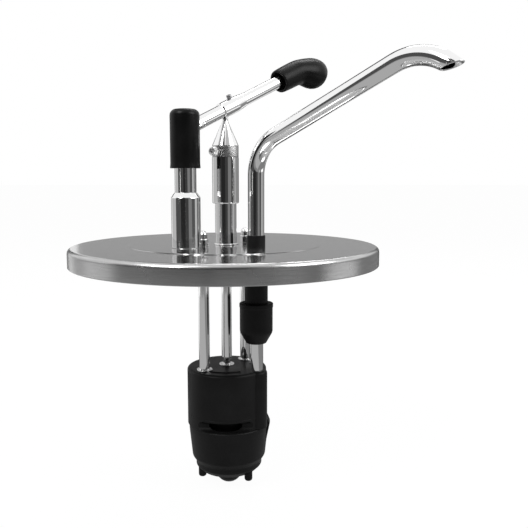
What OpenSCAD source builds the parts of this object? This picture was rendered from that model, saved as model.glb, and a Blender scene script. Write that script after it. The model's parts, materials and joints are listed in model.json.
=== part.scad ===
/* [Lid] */
// Outside diameter of the pail lid
lid_d = 268; // [240:1:320]
// Thickness of the lid's sheet steel
lid_t = 1.5; // [1:0.1:2]
// Height of the lid from its top face to the foot of its skirt
skirt_h = 16; // [12:0.5:24]
// Outside radius of the bend between the lid's top and its skirt
lid_edge_r = 4; // [3:0.5:6]
// Height of the sheet that is folded up inside the skirt as a hem
hem_h = 5; // [3:0.5:8]
// Diameter of the raised middle of the lid
raised_d = 164; // [130:1:200]
// How far the middle of the lid stands above its rim
raised_h = 0.8; // [0.4:0.1:1.4]
// Width of the slope between the rim and the raised middle
raised_slope = 2.5; // [1.5:0.5:5]

/* [Layout] */
// Pump column, from the middle of the lid to the right
column_x = 1.3; // [-2.5:0.1:5.5]
// Pump column, from the middle of the lid to the back
column_y = -5.1; // [-8:0.1:0]
// Fulcrum post, from the middle of the lid to the right
post_x = -30; // [-34.5:0.1:-28.5]
// Fulcrum post, from the middle of the lid to the back
post_y = -32.9; // [-38:0.1:-31]
// Spout, from the middle of the lid to the right
spout_x = 27.7; // [27:0.1:30.5]
// Spout, from the middle of the lid to the back
spout_y = -19.3; // [-20:0.1:-17]
// Distance of the tie rods from the pump column
rod_ring = 24.8; // [24.4:0.1:26]
// Direction of the front tie rod round the pump column, in degrees
front_rod_az = 222; // [215:1:228]
// Direction of the rear tie rod round the pump column, in degrees
rear_rod_az = 50; // [40:1:70]

/* [Fulcrum post] */
// Diameter of the heavy sleeve round the foot of the post
post_sleeve_d = 24.3; // [22:0.1:25]
// Height of the sleeve's straight part
post_sleeve_h = 41.5; // [30:0.5:50]
// Height of the sleeve's tapered top
post_taper_h = 4; // [2:0.5:8]
// Diameter of the post
post_d = 18; // [17:0.1:19]
// Depth of solid metal at the post's foot
post_solid_h = 20; // [14:1:30]
// Height of the fulcrum pin above the lid
pivot_h = 96; // [85:0.5:110]
// Diameter of the fulcrum pin
pin_d = 5; // [4:0.5:6]
// Height of the post's foot screw that is in the metal
post_screw_grip = 14; // [10:1:18]
// Thread diameter of the screw that holds the post
post_screw_d = 8; // [6:1:10]

/* [Post cap] */
// Outside diameter of the black cap
cap_d = 24.4; // [23:0.1:26]
// Diameter of the cap's flared foot
cap_foot_d = 25; // [24:0.1:27]
// Height of the flared foot
cap_foot_h = 4; // [2:0.5:8]
// Height of the cap
cap_h = 47.6; // [46:0.1:56]
// Height of the cap's foot above the lid
cap_lift = 65.3; // [60:0.1:70]
// Rounding of the cap's top edge
cap_edge_r = 5; // [3:0.5:7]

/* [Lever] */
// Diameter of the lever rod
lever_d = 11; // [9:0.1:11.4]
// How far the lever points up at rest, in degrees
lever_rise = 24.6; // [18:0.1:26]
// How far the lever points down when it is pressed, in degrees
lever_drop = 12.4; // [8:0.1:14]
// Length of the lever behind its pin
lever_tail = 5.5; // [4:0.5:6]
// Length of the lever from its pin to the grip's mouth
lever_reach = 113.8; // [95:0.1:130]
// Length of rod inside the grip
lever_grip_depth = 26; // [18:1:32]
// Diameter of the hub on the lever
hub_d = 13.4; // [12.4:0.1:16]
// Place of the hub's near end along the lever
hub_start = 41.5; // [38:0.5:43]
// Length of the hub's straight part
hub_l = 16.5; // [12:0.5:20]
// Length of the hub's taper
hub_taper_l = 9; // [5:0.5:12]
// Diameter at the end of the hub's taper
hub_end_d = 11.8; // [11.6:0.1:12.4]
// Diameter of the hub's set screw
hub_screw_d = 4.4; // [3:0.1:5]
// How far the hub's set screw stands out
hub_screw_h = 3; // [1:0.1:4]
// Distance from the hub's near end to its set screw
hub_screw_at = 13; // [10:0.5:14]

/* [Grip] */
// Diameter of the grip at its mouth
grip_mouth_d = 20.8; // [18:0.1:22]
// Diameter of the grip's neck
grip_neck_d = 22; // [20:0.1:24]
// Length of the grip's neck
grip_neck_l = 25; // [18:0.5:28]
// Diameter of the grip's bulb
grip_bulb_d = 28.4; // [24:0.1:32]
// Length of the bulb's straight part
grip_bulb_l = 4; // [2:0.5:12]
// Distance from the grip's mouth to the middle of the bulb
grip_bulb_at = 45.5; // [38:0.5:52]
// How far the bulb hangs below the lever's line
grip_droop = 7.6; // [4:0.1:11]
// Diameter of the recess in the grip's mouth
grip_recess_d = 15.6; // [14:0.1:17]
// Depth of the recess in the grip's mouth
grip_recess_l = 5; // [2:0.5:8]

/* [Pump column] */
// Diameter of the guide tube
guide_d = 18.6; // [18:0.1:19]
// Wall of the guide tube
guide_wall = 1.2; // [1:0.1:1.3]
// Height of the guide tube
guide_h = 45; // [40:0.5:46]
// Diameter of the ring at the guide tube's foot
guide_foot_d = 21; // [20:0.1:24]
// Thickness of the ring at the guide tube's foot
guide_foot_t = 1.2; // [0.8:0.1:2]
// Diameter of the sliding sleeve
sleeve_d = 23; // [22.4:0.1:25]
// Height of the sleeve's lower edge above the lid, at rest
sleeve_lift = 35.6; // [34:0.1:42]
// Height of the sleeve
sleeve_h = 49; // [45:0.5:52]
// Height of the knurled band at the sleeve's top
knurl_h = 9.7; // [6:0.1:14]
// How far the knurling stands out
knurl_t = 0.25; // [0.15:0.05:0.5]
// Height of the cone
cone_h = 20.7; // [18:0.1:22]
// Diameter of the cone's stem
stem_d = 5; // [4:0.1:5.4]
// Height of the stem on the cone
stem_h = 6.7; // [5:0.1:7]
// Depth of the cone's shank in the sleeve
shank_h = 10; // [8:0.5:14]
// Diameter of the thumb screw's head
thumb_d = 7.4; // [6:0.1:9]
// Length of the thumb screw's head
thumb_l = 5; // [3:0.1:8]
// Diameter of the thumb screw's thread
thumb_shaft_d = 4; // [3:0.5:4.5]
// Direction of the thumb screw round the column, in degrees
thumb_az = 230; // [200:1:260]
// Diameter of the piston rod
piston_rod_d = 9; // [8:0.1:9.5]
// Diameter of the rod's neck above the gland
rod_neck_d = 6.6; // [6:0.1:7.5]
// Length of the rod's neck
rod_neck_l = 5.5; // [3:0.5:8]

/* [Return spring] */
// Wire diameter of the return spring
spring_wire = 1.2; // [1:0.1:1.6]
// Mean radius of the return spring
spring_r = 6.3; // [5.9:0.05:6.4]
// Number of turns
spring_turns = 14; // [10:1:16]

/* [Spout] */
// Outside diameter of the spout tube
spout_d = 14; // [13:0.1:14.4]
// Wall of the spout tube
spout_wall = 1; // [0.8:0.1:1.5]
// Direction of the spout's arm, in degrees
spout_az = -42.2; // [-60:0.1:-30]
// Climb of the spout's arm, in degrees
spout_rise = 22.7; // [15:0.1:30]
// Height above the lid of the point where the upright and the arm meet
spout_corner_h = 82.2; // [70:0.1:100]
// Bend radius between the upright and the arm
spout_bend_r = 34.5; // [25:0.5:45]
// Level distance from the upright to the start of the mouth's bend
spout_reach = 131; // [100:1:150]
// Bend radius at the mouth
mouth_bend_r = 45; // [30:1:60]
// Slope of the tube at the mouth, in degrees down
mouth_fall = 38; // [30:1:50]
// Slope of the cut across the mouth, in degrees up
mouth_cut = 18; // [0:1:30]
// Outside diameter of the collar on the lid
collar_d = 15.6; // [15.4:0.1:17]
// Height of the collar on the lid
collar_h = 9.3; // [5:0.1:14]
// Diameter of the threaded sleeve under the lid
socket_d = 20; // [19.6:0.1:21]
// Depth of the threaded sleeve below the lid's top
socket_drop = 61; // [56:0.5:66]

/* [Coupling] */
// Diameter of the coupling nut
coupling_d = 28.4; // [26:0.1:31]
// Depth of the nut's top below the lid's top
coupling_drop = 48.2; // [40:0.1:52]
// Length of the nut's straight part
coupling_l = 25.2; // [22:0.1:30]
// Length of the nut's taper
coupling_taper_l = 10; // [8:0.1:16]
// Diameter at the end of the nut's taper
coupling_end_d = 17; // [15:0.1:20]
// Height of the rim round the nut's top
coupling_rim_h = 3.4; // [2:0.1:5]
// Diameter of the riser tube
riser_d = 12; // [11:0.1:12.4]
// Wall of the riser tube
riser_wall = 1; // [0.8:0.1:1.5]

/* [Tie rods] */
// Diameter of the tie rods
tie_d = 9.3; // [8:0.1:10]
// Diameter of the rods' threaded ends
stud_d = 5; // [4:0.5:5]
// Across flats of the cap nuts
nut_flats = 7.6; // [7:0.1:8]
// Height of a cap nut's hexagon
nut_hex_h = 5.3; // [4.5:0.1:9]
// Diameter of a cap nut's flange
nut_flange_d = 8.8; // [8:0.1:9]
// Thickness of a cap nut's flange
nut_flange_t = 1; // [0.6:0.1:1.5]
// Diameter of a cap nut's dome
nut_dome_d = 7.4; // [6:0.1:8]
// Height of the straight part of a cap nut's dome
nut_dome_rise = 3.2; // [1:0.1:4]
// Diameter of the washers at the rods' ends
washer_d = 13.4; // [11:0.1:13.6]
// Thickness of those washers
washer_t = 1.5; // [0.8:0.1:1.8]

/* [Pump body] */
// Outside diameter of the pump body
body_d = 70; // [68:0.5:74]
// Depth of the pump's top below the lid's top
pump_drop = 107.3; // [95:0.5:130]
// Thickness of the pump's cover
cover_t = 5; // [4:0.5:7]
// Rounding of the cover's edge
cover_edge_r = 3; // [1:0.5:3.5]
// Distance from the axis to the rib on the front of the cover
rib_at = 25; // [22:0.5:28]
// Width of that rib
rib_w = 1.8; // [1:0.1:3]
// Height of that rib
rib_h = 0.8; // [0.5:0.1:2]
// Height of the body from its cover to the valve cup
body_h = 46; // [44:0.5:60]
// Wall of the body
body_wall = 5.5; // [4:0.1:6]
// Thickness of the body's closed top, under the cover
body_top_t = 10; // [9:0.5:14]
// Wall of the barrel round the bore
barrel_wall = 3; // [2.5:0.25:4.5]
// Bore of the pump
bore_d = 36; // [32:0.5:37]
// Depth of the bore below the cover
bore_h = 46.5; // [46:0.5:48]
// How far the barrel reaches below the body
barrel_drop = 18.5; // [12:0.5:22]
// Radius of the boss round the riser's socket
boss_r = 9.5; // [9:0.1:10]
// Depth of the riser's socket in the body
riser_socket_h = 8; // [6:0.5:9]
// Height of the ring between the body and the cup
ring_h = 11; // [10:0.5:14]
// Height of the inlet window in the ring
window_h = 8.6; // [6:0.1:9]
// Depth of the inlet window from the front of the ring
window_depth = 9.2; // [7:0.1:10.5]
// How far the ring reaches into the cup
ring_lip = 6; // [4:0.5:8]
// Play of the piston all round in the bore
piston_play = 0.3; // [0.1:0.05:0.5]
// Height of the piston
piston_h = 10; // [8:0.5:10.5]
// Diameter of the gland's head
gland_d = 13.5; // [12:0.1:15]
// Height of the gland's head
gland_h = 1.8; // [1:0.1:3]

/* [Valve cup] */
// How much wider the cup's rim is than the body
cup_rim_over = 0.4; // [-0.5:0.1:5]
// How far the cup's outside is shifted to the right of the bore
cup_shift = 1.4; // [0:0.1:1.6]
// How much narrower the cup's lower edge is than its rim
cup_taper = 5.2; // [3:0.1:8]
// Height from the rim to the lower edge
cup_h = 29.5; // [26:0.5:34]
// How much narrower the foot ring is than the cup's lower edge
foot_step = 6.4; // [5.2:0.1:11]
// Height of the foot ring, with its step and chamfer
foot_h = 14; // [12:0.5:18]
// How far the catch on the cup's right stands out
catch_t = 3.4; // [2:0.1:5]
// Height of the catch above the cup's rim
catch_rise = 8; // [4:0.5:10]
// Depth of the catch below the cup's rim
catch_drop = 18; // [10:0.5:22]
// Width of the catch round the cup, in degrees
catch_span = 24; // [12:1:40]
// Chamfer round the foot ring
foot_chamfer = 5; // [3:0.5:7]
// Diameter of the dome under the foot
dome_d = 24.6; // [20:0.1:28]
// Depth of the dome's middle below the foot
dome_drop = 1.2; // [0:0.1:3]
// Diameter of the three pegs
peg_d = 7; // [5:0.1:9]
// How far the pegs stand down from the foot
peg_h = 5.6; // [3:0.1:8]
// Distance of the pegs from the axis
peg_at = 24.5; // [20:0.1:25]
// Diameter of the inlet ball
inlet_ball_d = 12; // [11:0.1:12.5]
// Bore of the inlet
inlet_d = 9; // [7:0.1:10]
// Lift of the inlet ball
inlet_lift = 3; // [2:0.1:3]
// Diameter of the outlet ball
outlet_ball_d = 8; // [7.4:0.1:8.4]
// Bore below the outlet ball
outlet_d = 6; // [5:0.1:6.5]
// Lift of the outlet ball
outlet_lift = 2; // [1:0.1:2.5]

/* [Clearances] */
// Radial clearance of a shaft that turns or slides in its bore
run_clear = 0.05; // [0.02:0.01:0.1]
// Radial clearance between pieces that are fixed together
fit_clear = 0.05; // [0.02:0.01:0.1]
// Gap between pieces that move past each other
move_gap = 0.4; // [0.3:0.05:0.6]
// Room round the stem in the lever's pocket
pocket_clear = 0.8; // [0.6:0.1:1]

/* [Hidden] */
$fn = 72;
over = 1;
deck = lid_t + raised_h;
lid_r = lid_d / 2;

arm = norm([column_x - post_x, column_y - post_y]);
lever_az = atan2(column_y - post_y, column_x - post_x);
pivot_z = deck + pivot_h;
press_angle = lever_rise + lever_drop;
stroke = arm * (tan(lever_rise) + tan(lever_drop));

fork_w = lever_d + 2 * 0.75 * move_gap;
fork_rise = lever_d * 0.72;
fork_drop = lever_d / 2 / cos(lever_rise) + lever_tail * sin(lever_rise) + 2 * move_gap;
cap_bore_d = post_d + 2 * fit_clear;
window_w = lever_d + 2 * move_gap;
window_up = cap_d / 2 * tan(lever_rise) + lever_d / 2 / cos(lever_rise) + 2 * move_gap;
window_down = cap_d / 2 * tan(lever_drop) + lever_d / 2 / cos(lever_drop) + 2 * move_gap;
cap_z = deck + cap_lift;

sleeve_z = deck + sleeve_lift;
cone_z = sleeve_z + sleeve_h;
sleeve_bore_d = guide_d + 2 * move_gap;
shank_z = cone_z - shank_h;
stem_top = cone_z + cone_h + stem_h;
stem_rise = stem_top - pivot_z;
shank_d = sleeve_bore_d - 2 * fit_clear;
thumb_z = cone_z - knurl_h / 2;
knurl_count = 44;

guide_spigot_d = guide_d - guide_wall;
guide_bore_d = guide_d - 2 * guide_wall;
guide_spigot_h = 8;
guide_nut_flats = 24;
guide_nut_h = 4.5;
bush_h = 14;
bush_top = deck + bush_h - guide_spigot_h;
stop_d = 14;
stop_h = 5;

pump_top = lid_t - pump_drop;
body_top = pump_top - cover_t;
rim_z = body_top - body_h;
barrel_z = rim_z - barrel_drop;
bore_floor = body_top - bore_h;
riser_dx = spout_x - column_x;
riser_dy = spout_y - column_y;
riser_flange_t = 1.5;
riser_flange_d = 19;
riser_foot = body_top - riser_socket_h;
spout_seal_h = 4.4;
socket_nut_flats = 25.5;
socket_nut_h = 6;
socket_z = lid_t - socket_drop;
seal_bore_d = 18;
seal_d = 17.8;
seal_bore_l = spout_seal_h + move_gap;
spout_foot = socket_z + seal_bore_l;
coupling_z = lid_t - coupling_drop;
coupling_shoulder = socket_z - move_gap / 2 - riser_flange_t;
riser_seal_d = 15.6;
riser_seal_t = 2.4;
stud_grip = 8;
window_lift = 0.4;
gland_shoulder = 1;
gland_shank_d = gland_d - 2 * gland_shoulder;

barrel_d = bore_d + 2 * barrel_wall;
piston_d = bore_d - 2 * piston_play;
piston_headroom = 1.2;
piston_top = body_top - piston_headroom;
piston_seal_d = bore_d - 2 * run_clear;
seal_groove_depth = 2.7;
seal_groove_d = piston_d - 2 * seal_groove_depth;
seal_groove_h = 3.2;
piston_nut_flats = 10;
piston_nut_h = 4;
rod_stud_d = 6;
port_rise = 4.4;
port_z = bore_floor + port_rise;
inlet_play = 1;
chamber_d = inlet_ball_d + 2 * inlet_play;
inlet_well = 8;
inlet_seat_z = barrel_z - inlet_well;
inlet_ball_z = inlet_seat_z + sqrt(pow(inlet_ball_d, 2) - pow(inlet_d, 2)) / 2 + run_clear;
cage_t = 3;
inlet_cage_z = inlet_ball_z + inlet_ball_d / 2 + inlet_lift + move_gap;
outlet_play = 0.6;
outlet_seat_rise = 3;
outlet_bore_d = outlet_ball_d + 2 * outlet_play;
outlet_seat_z = port_z + outlet_d / 2 + outlet_seat_rise;
outlet_ball_z = outlet_seat_z + sqrt(pow(outlet_ball_d, 2) - pow(outlet_d, 2)) / 2 + run_clear;
outlet_cage_z = outlet_ball_z + outlet_ball_d / 2 + outlet_lift + move_gap;
cage_hole_d = 3.6;
cup_low_z = rim_z - cup_h;
foot_z = cup_low_z - foot_h;
cup_lip_r = 1.5;
cup_step_h = 5;
cup_seal_d = 3;
cup_seal_at = 16;
cup_socket_wall = 3.4;
cup_socket_h = 8;
shell_bore_d = body_d - 2 * body_wall;
lip_d = body_d - body_wall;
cup_d = body_d + cup_rim_over;
cup_low_d = cup_d - cup_taper;
foot_d = cup_low_d - foot_step;

steel = "silver";
bright_steel = "gainsboro";
black = "#1c1c1e";
soft_black = "#2b2b2d";
white_plastic = "ivory";

module at_post() {
    translate([post_x, post_y, 0]) children();
}

module at_column() {
    translate([column_x, column_y, 0]) children();
}

module at_spout() {
    translate([spout_x, spout_y, 0]) children();
}

// The two tie rods stand on a ring round the pump column
module on_ring() {
    for (turn = [front_rod_az, rear_rod_az]) rotate([0, 0, turn]) translate([rod_ring, 0, 0]) children();
}

module at_rods() {
    at_column() on_ring() children();
}

// The lever's own frame: X along the rod from the fulcrum pin, Y along the pin
module on_lever() {
    translate([post_x, post_y, pivot_z]) rotate([0, 0, lever_az]) rotate([0, -lever_rise, 0]) children();
}

// The same frame with Z along the rod
module along_lever(start = 0) {
    on_lever() translate([start, 0, 0]) rotate([0, 90, 0]) children();
}

module rod(d, from_z, to_z) {
    translate([0, 0, from_z]) cylinder(d = d, h = to_z - from_z);
}

module tube(outer_d, inner_d, from_z, to_z) {
    difference() {
        rod(outer_d, from_z, to_z);
        rod(inner_d, from_z - over, to_z + over);
    }
}

module hexagon(flats, from_z, to_z) {
    translate([0, 0, from_z]) cylinder(d = flats / cos(30), h = to_z - from_z, $fn = 6);
}

// Half section of the lid: raised middle, slope, rim, rounded edge, skirt and hem
module lid_section() {
    raised_r = raised_d / 2;
    bend_r = lid_r - lid_edge_r;
    foot = lid_t - skirt_h;
    translate([0, raised_h]) square([raised_r, lid_t]);
    polygon([[raised_r, raised_h], [raised_r + raised_slope, 0], [raised_r + raised_slope, lid_t],
        [raised_r, raised_h + lid_t]]);
    translate([raised_r + raised_slope, 0]) square([bend_r - raised_r - raised_slope, lid_t]);
    translate([bend_r, lid_t - lid_edge_r]) intersection() {
        difference() {
            circle(r = lid_edge_r);
            circle(r = lid_edge_r - lid_t);
        }
        square(lid_edge_r);
    }
    translate([lid_r - lid_t, foot]) square([lid_t, skirt_h - lid_edge_r]);
    translate([lid_r - 2 * lid_t, foot]) square([lid_t, hem_h]);
}

module lid() {
    color(steel) difference() {
        rotate_extrude($fn = 144) lid_section();
        at_post() rod(post_screw_d + 2 * fit_clear, -over, deck + over);
        at_column() rod(guide_spigot_d + 2 * fit_clear, -over, deck + over);
        at_rods() rod(stud_d + 2 * fit_clear, -over, deck + over);
        at_spout() rod(collar_d + 2 * fit_clear, -over, deck + over);
    }
}

module post_sleeve() {
    taper_z = deck + post_sleeve_h;
    top_d = post_d + 2 * fit_clear + lid_t / 2;
    color(steel) at_post() difference() {
        union() {
            rod(post_sleeve_d, deck, taper_z);
            translate([0, 0, taper_z]) cylinder(d1 = post_sleeve_d, d2 = top_d, h = post_taper_h);
        }
        rod(post_d + 2 * fit_clear, deck - over, taper_z + post_taper_h + over);
    }
}

module post_tube() {
    color(steel) at_post() difference() {
        rod(post_d, deck, pivot_z + fork_rise);
        rod(fork_w, deck + post_solid_h, pivot_z + fork_rise + over);
        rod(post_screw_d + 2 * fit_clear, deck - over, deck + post_screw_grip + fit_clear);
        translate([0, 0, pivot_z]) rotate([0, 0, lever_az]) {
            translate([-post_d, -fork_w / 2, -fork_drop]) cube([2 * post_d, fork_w, 2 * post_d]);
            rotate([90, 0, 0]) rod(pin_d, -post_d, post_d);
        }
    }
}

module cap_section() {
    round_z = cap_h - cap_edge_r;
    difference() {
        union() {
            square([cap_d / 2, round_z]);
            polygon([[0, 0], [cap_foot_d / 2, 0], [cap_d / 2, cap_foot_h], [0, cap_foot_h]]);
            square([cap_d / 2 - cap_edge_r, cap_h]);
            translate([cap_d / 2 - cap_edge_r, round_z]) intersection() {
                circle(r = cap_edge_r);
                square(cap_edge_r);
            }
        }
        translate([-over, -over]) square([over + cap_bore_d / 2, over + pivot_z + window_up - cap_z]);
    }
}

module post_cap() {
    color(black) at_post() difference() {
        translate([0, 0, cap_z]) rotate_extrude() cap_section();
        translate([0, 0, pivot_z]) rotate([0, 0, lever_az]) translate([0, -window_w / 2, -window_down])
            cube([cap_d, window_w, window_down + window_up]);
    }
}

module fulcrum_pin() {
    half = sqrt(pow(post_d / 2, 2) - pow(pin_d / 2, 2)) - fit_clear;
    color(bright_steel) at_post() translate([0, 0, pivot_z]) rotate([0, 0, lever_az])
        rotate([90, 0, 0]) rod(pin_d - 2 * run_clear, -half, half);
}

module post_screw() {
    head_h = 0.65 * post_screw_d;
    head_top = raised_h - washer_t;
    color(bright_steel) at_post() {
        rod(post_screw_d, head_top, deck + post_screw_grip - move_gap);
        hexagon(1.6 * post_screw_d, head_top - head_h, head_top);
    }
}

module post_washer() {
    color(bright_steel) at_post()
        tube(2.3 * post_screw_d, post_screw_d + 2 * fit_clear, raised_h - washer_t, raised_h);
}

module guide_tube() {
    spigot_end = deck - guide_spigot_h;
    color(bright_steel) at_column() difference() {
        union() {
            rod(guide_spigot_d, spigot_end, deck + over);
            rod(guide_foot_d, deck, deck + guide_foot_t);
            rod(guide_d, deck, deck + guide_h);
        }
        rod(guide_bore_d, spigot_end - over, deck + guide_h + over);
    }
}

module guide_bush() {
    color(white_plastic) at_column()
        tube(guide_bore_d - 2 * fit_clear, piston_rod_d + 2 * run_clear, bush_top - bush_h, bush_top);
}

module guide_nut() {
    color(bright_steel) at_column() difference() {
        hexagon(guide_nut_flats, raised_h - guide_nut_h, raised_h);
        rod(guide_spigot_d + 2 * fit_clear, raised_h - guide_nut_h - over, raised_h + over);
    }
}

// The spring is one helical tube: rings of points across the wire, joined by quads cut in two
spring_low = bush_top + spring_wire / 2 + move_gap / 4;
spring_high = shank_z - spring_wire / 2 - move_gap / 4;
spring_sides = 6;
spring_turn_steps = 8;
spring_steps = spring_turn_steps * spring_turns;
function spring_point(i, j) = let (
        turn = 360 * i / spring_turn_steps,
        side = 360 * j / spring_sides,
        r = spring_r + spring_wire / 2 * cos(side)
    ) [r * cos(turn), r * sin(turn),
        spring_low + (spring_high - spring_low) * i / spring_steps + spring_wire / 2 * sin(side)];
function spring_index(i, j) = i * spring_sides + j % spring_sides;

// The least gap between the turns of the pressed spring, measured from point to point of its middle line
function spring_middle(i) = [spring_r * cos(360 * i / spring_turn_steps),
    spring_r * sin(360 * i / spring_turn_steps),
    spring_low + (spring_high - stroke - spring_low) * i / spring_steps];
spring_gap = min([for (i = [0:spring_steps - spring_turn_steps])
    for (k = [i + spring_turn_steps / 2:spring_steps])
        norm(spring_middle(k) - spring_middle(i))]) - spring_wire;
echo(least_gap_in_the_pressed_spring = spring_gap);
spring_points = [for (i = [0:spring_steps]) for (j = [0:spring_sides - 1]) spring_point(i, j)];
spring_skin = [for (i = [0:spring_steps - 1]) for (j = [0:spring_sides - 1]) for (half = [0, 1])
    half == 0
        ? [spring_index(i, j), spring_index(i + 1, j), spring_index(i + 1, j + 1)]
        : [spring_index(i, j), spring_index(i + 1, j + 1), spring_index(i, j + 1)]];
spring_ends = [for (j = [1:spring_sides - 2]) for (end = [0, 1])
    end == 0
        ? [0, j, j + 1]
        : [spring_index(spring_steps, 0), spring_index(spring_steps, j + 1), spring_index(spring_steps, j)]];

module return_spring() {
    color(bright_steel) at_column() polyhedron(points = spring_points, faces = concat(spring_skin, spring_ends));
}

module tie_rods() {
    color(bright_steel) at_rods() {
        rod(tie_d, pump_top + washer_t, raised_h - washer_t);
        rod(stud_d, body_top - stud_grip, pump_top + washer_t + over);
        rod(stud_d, raised_h - washer_t - over, deck + nut_hex_h);
    }
}

module rod_washers() {
    color(bright_steel) at_rods() {
        tube(washer_d, stud_d + 2 * fit_clear, pump_top, pump_top + washer_t);
        tube(washer_d, stud_d + 2 * fit_clear, raised_h - washer_t, raised_h);
    }
}

module cap_nuts() {
    flange_z = deck + nut_hex_h;
    dome_z = flange_z + nut_flange_t;
    color(bright_steel) at_rods() difference() {
        union() {
            hexagon(nut_flats, deck, flange_z);
            rod(nut_flange_d, flange_z, dome_z);
            rod(nut_dome_d, dome_z - over / 2, dome_z + nut_dome_rise);
            translate([0, 0, dome_z + nut_dome_rise]) intersection() {
                sphere(d = nut_dome_d);
                rod(nut_dome_d, -over / 2, nut_dome_d);
            }
        }
        rod(stud_d + 2 * fit_clear, deck - over, flange_z + fit_clear);
    }
}

module spout_socket() {
    color(black) at_spout() difference() {
        union() {
            rod(collar_d, raised_h - over, deck + collar_h);
            rod(socket_d, socket_z, raised_h);
        }
        rod(spout_d + 2 * run_clear, socket_z - over, deck + collar_h + over);
        rod(seal_bore_d, socket_z - over, socket_z + seal_bore_l);
    }
}

module socket_nut() {
    color(bright_steel) at_spout() difference() {
        hexagon(socket_nut_flats, raised_h - socket_nut_h, raised_h);
        rod(socket_d + 2 * fit_clear, raised_h - socket_nut_h - over, raised_h + over);
    }
}

module spout_seal() {
    color(soft_black) at_spout()
        tube(seal_d, riser_d + 2 * fit_clear, socket_z + fit_clear, socket_z + spout_seal_h);
}

module coupling_nut() {
    taper_z = coupling_z - coupling_l;
    rim_t = 0.35;
    color(black) at_spout() difference() {
        union() {
            rod(coupling_d, taper_z, coupling_z);
            rod(coupling_d + 2 * rim_t, coupling_z - coupling_rim_h, coupling_z);
            translate([0, 0, taper_z - coupling_taper_l])
                cylinder(d1 = coupling_end_d, d2 = coupling_d, h = coupling_taper_l);
        }
        rod(socket_d + 2 * fit_clear, coupling_shoulder, coupling_z + over);
        rod(riser_d + 2 * fit_clear, taper_z - coupling_taper_l - over, coupling_shoulder + over);
    }
}

module riser_tube() {
    top = coupling_shoulder + riser_flange_t;
    color(bright_steel) at_spout() difference() {
        union() {
            rod(riser_d, riser_foot + fit_clear, top);
            rod(riser_flange_d, coupling_shoulder, top);
        }
        rod(riser_d - 2 * riser_wall, riser_foot - over, top + over);
    }
}

module riser_seal() {
    color(soft_black) at_spout()
        tube(riser_seal_d, riser_d + 2 * fit_clear, body_top - riser_seal_t, body_top - fit_clear);
}

// Outline of the pump: a circle with a boss for the riser, drawn round the pump column
module pump_outline(inset = 0) {
    circle(d = body_d - 2 * inset);
    translate([riser_dx, riser_dy]) circle(r = boss_r - inset);
}

module pump_cover() {
    steps = 5;
    rib_span = 60;
    color(black) at_column() difference() {
        union() {
            for (i = [0:steps]) {
                lean = 90 * i / steps;
                translate([0, 0, body_top]) linear_extrude(cover_t - cover_edge_r * (1 - sin(lean)))
                    pump_outline(cover_edge_r * (1 - cos(lean)));
            }
            translate([0, 0, pump_top - over / 2]) rotate([0, 0, 270 - rib_span / 2])
                rotate_extrude(angle = rib_span) translate([rib_at - rib_w / 2, 0]) square([rib_w, rib_h + over / 2]);
        }
        rod(gland_shank_d + 2 * fit_clear, body_top - over, pump_top + over);
        translate([riser_dx, riser_dy, 0]) rod(riser_d + 2 * fit_clear, body_top - over, pump_top + over);
        on_ring() rod(stud_d + 2 * fit_clear, body_top - over, pump_top + over);
    }
}

// The body: a shell under a thick top, with the barrel in its middle and a boss for the riser
module pump_body() {
    shell_z = rim_z + ring_h;
    color(soft_black) at_column() difference() {
        union() {
            translate([0, 0, shell_z]) linear_extrude(body_top - shell_z) difference() {
                pump_outline();
                circle(d = shell_bore_d);
            }
            translate([0, 0, body_top - body_top_t]) linear_extrude(body_top_t) pump_outline();
            translate([0, 0, rim_z + fit_clear]) linear_extrude(body_h - fit_clear)
                translate([riser_dx, riser_dy]) circle(r = boss_r);
            rod(barrel_d, barrel_z, body_top);
        }
        rod(bore_d, bore_floor, body_top + over);
        rod(chamber_d, barrel_z - over, bore_floor + over);
        translate([riser_dx, riser_dy, 0]) {
            rod(riser_d + 2 * fit_clear, riser_foot, body_top + over);
            rod(riser_seal_d + 2 * fit_clear, body_top - riser_seal_t, body_top + over);
            rod(outlet_bore_d, outlet_seat_z, body_top + over);
            rod(outlet_d, port_z - outlet_d / 2, body_top + over);
        }
        translate([0, 0, port_z]) rotate([0, 0, atan2(riser_dy, riser_dx)]) rotate([0, 90, 0])
            rod(outlet_d, 0, norm([riser_dx, riser_dy]));
        on_ring() rod(stud_d + 2 * fit_clear, body_top - stud_grip - move_gap, body_top + over);
    }
}

// The ring under the body's shell has the inlet window in front, and a notch for the riser's boss
module intake_ring() {
    window_r = window_h / 2;
    window_y = window_depth - window_r - body_d / 2;
    window_z = rim_z + window_lift + window_r;
    color(soft_black) at_column() difference() {
        union() {
            rod(body_d, rim_z, rim_z + ring_h);
            rod(lip_d - 2 * fit_clear, rim_z - ring_lip, rim_z + over);
        }
        rod(shell_bore_d, rim_z - ring_lip - over, rim_z + ring_h + over);
        translate([riser_dx, riser_dy, 0]) rod(2 * boss_r + 2 * fit_clear, rim_z, rim_z + ring_h + over);
        translate([0, window_y, window_z]) rotate([0, 90, 0]) rod(window_h, -body_d, body_d);
        translate([-body_d, window_y - body_d, window_z - window_r]) cube([2 * body_d, body_d, window_h]);
    }
}

module rod_gland() {
    shank_l = cover_t / 2;
    color(bright_steel) at_column() difference() {
        union() {
            rod(gland_d, pump_top, pump_top + gland_h);
            rod(gland_shank_d, pump_top - shank_l, pump_top + over);
        }
        rod(piston_rod_d + 2 * run_clear, body_top - over, pump_top + gland_h + over);
    }
}

module gland_seal() {
    color(soft_black) at_column() tube(gland_shank_d, piston_rod_d + 2 * run_clear,
        body_top + fit_clear, pump_top - cover_t / 2 - fit_clear);
}

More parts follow.
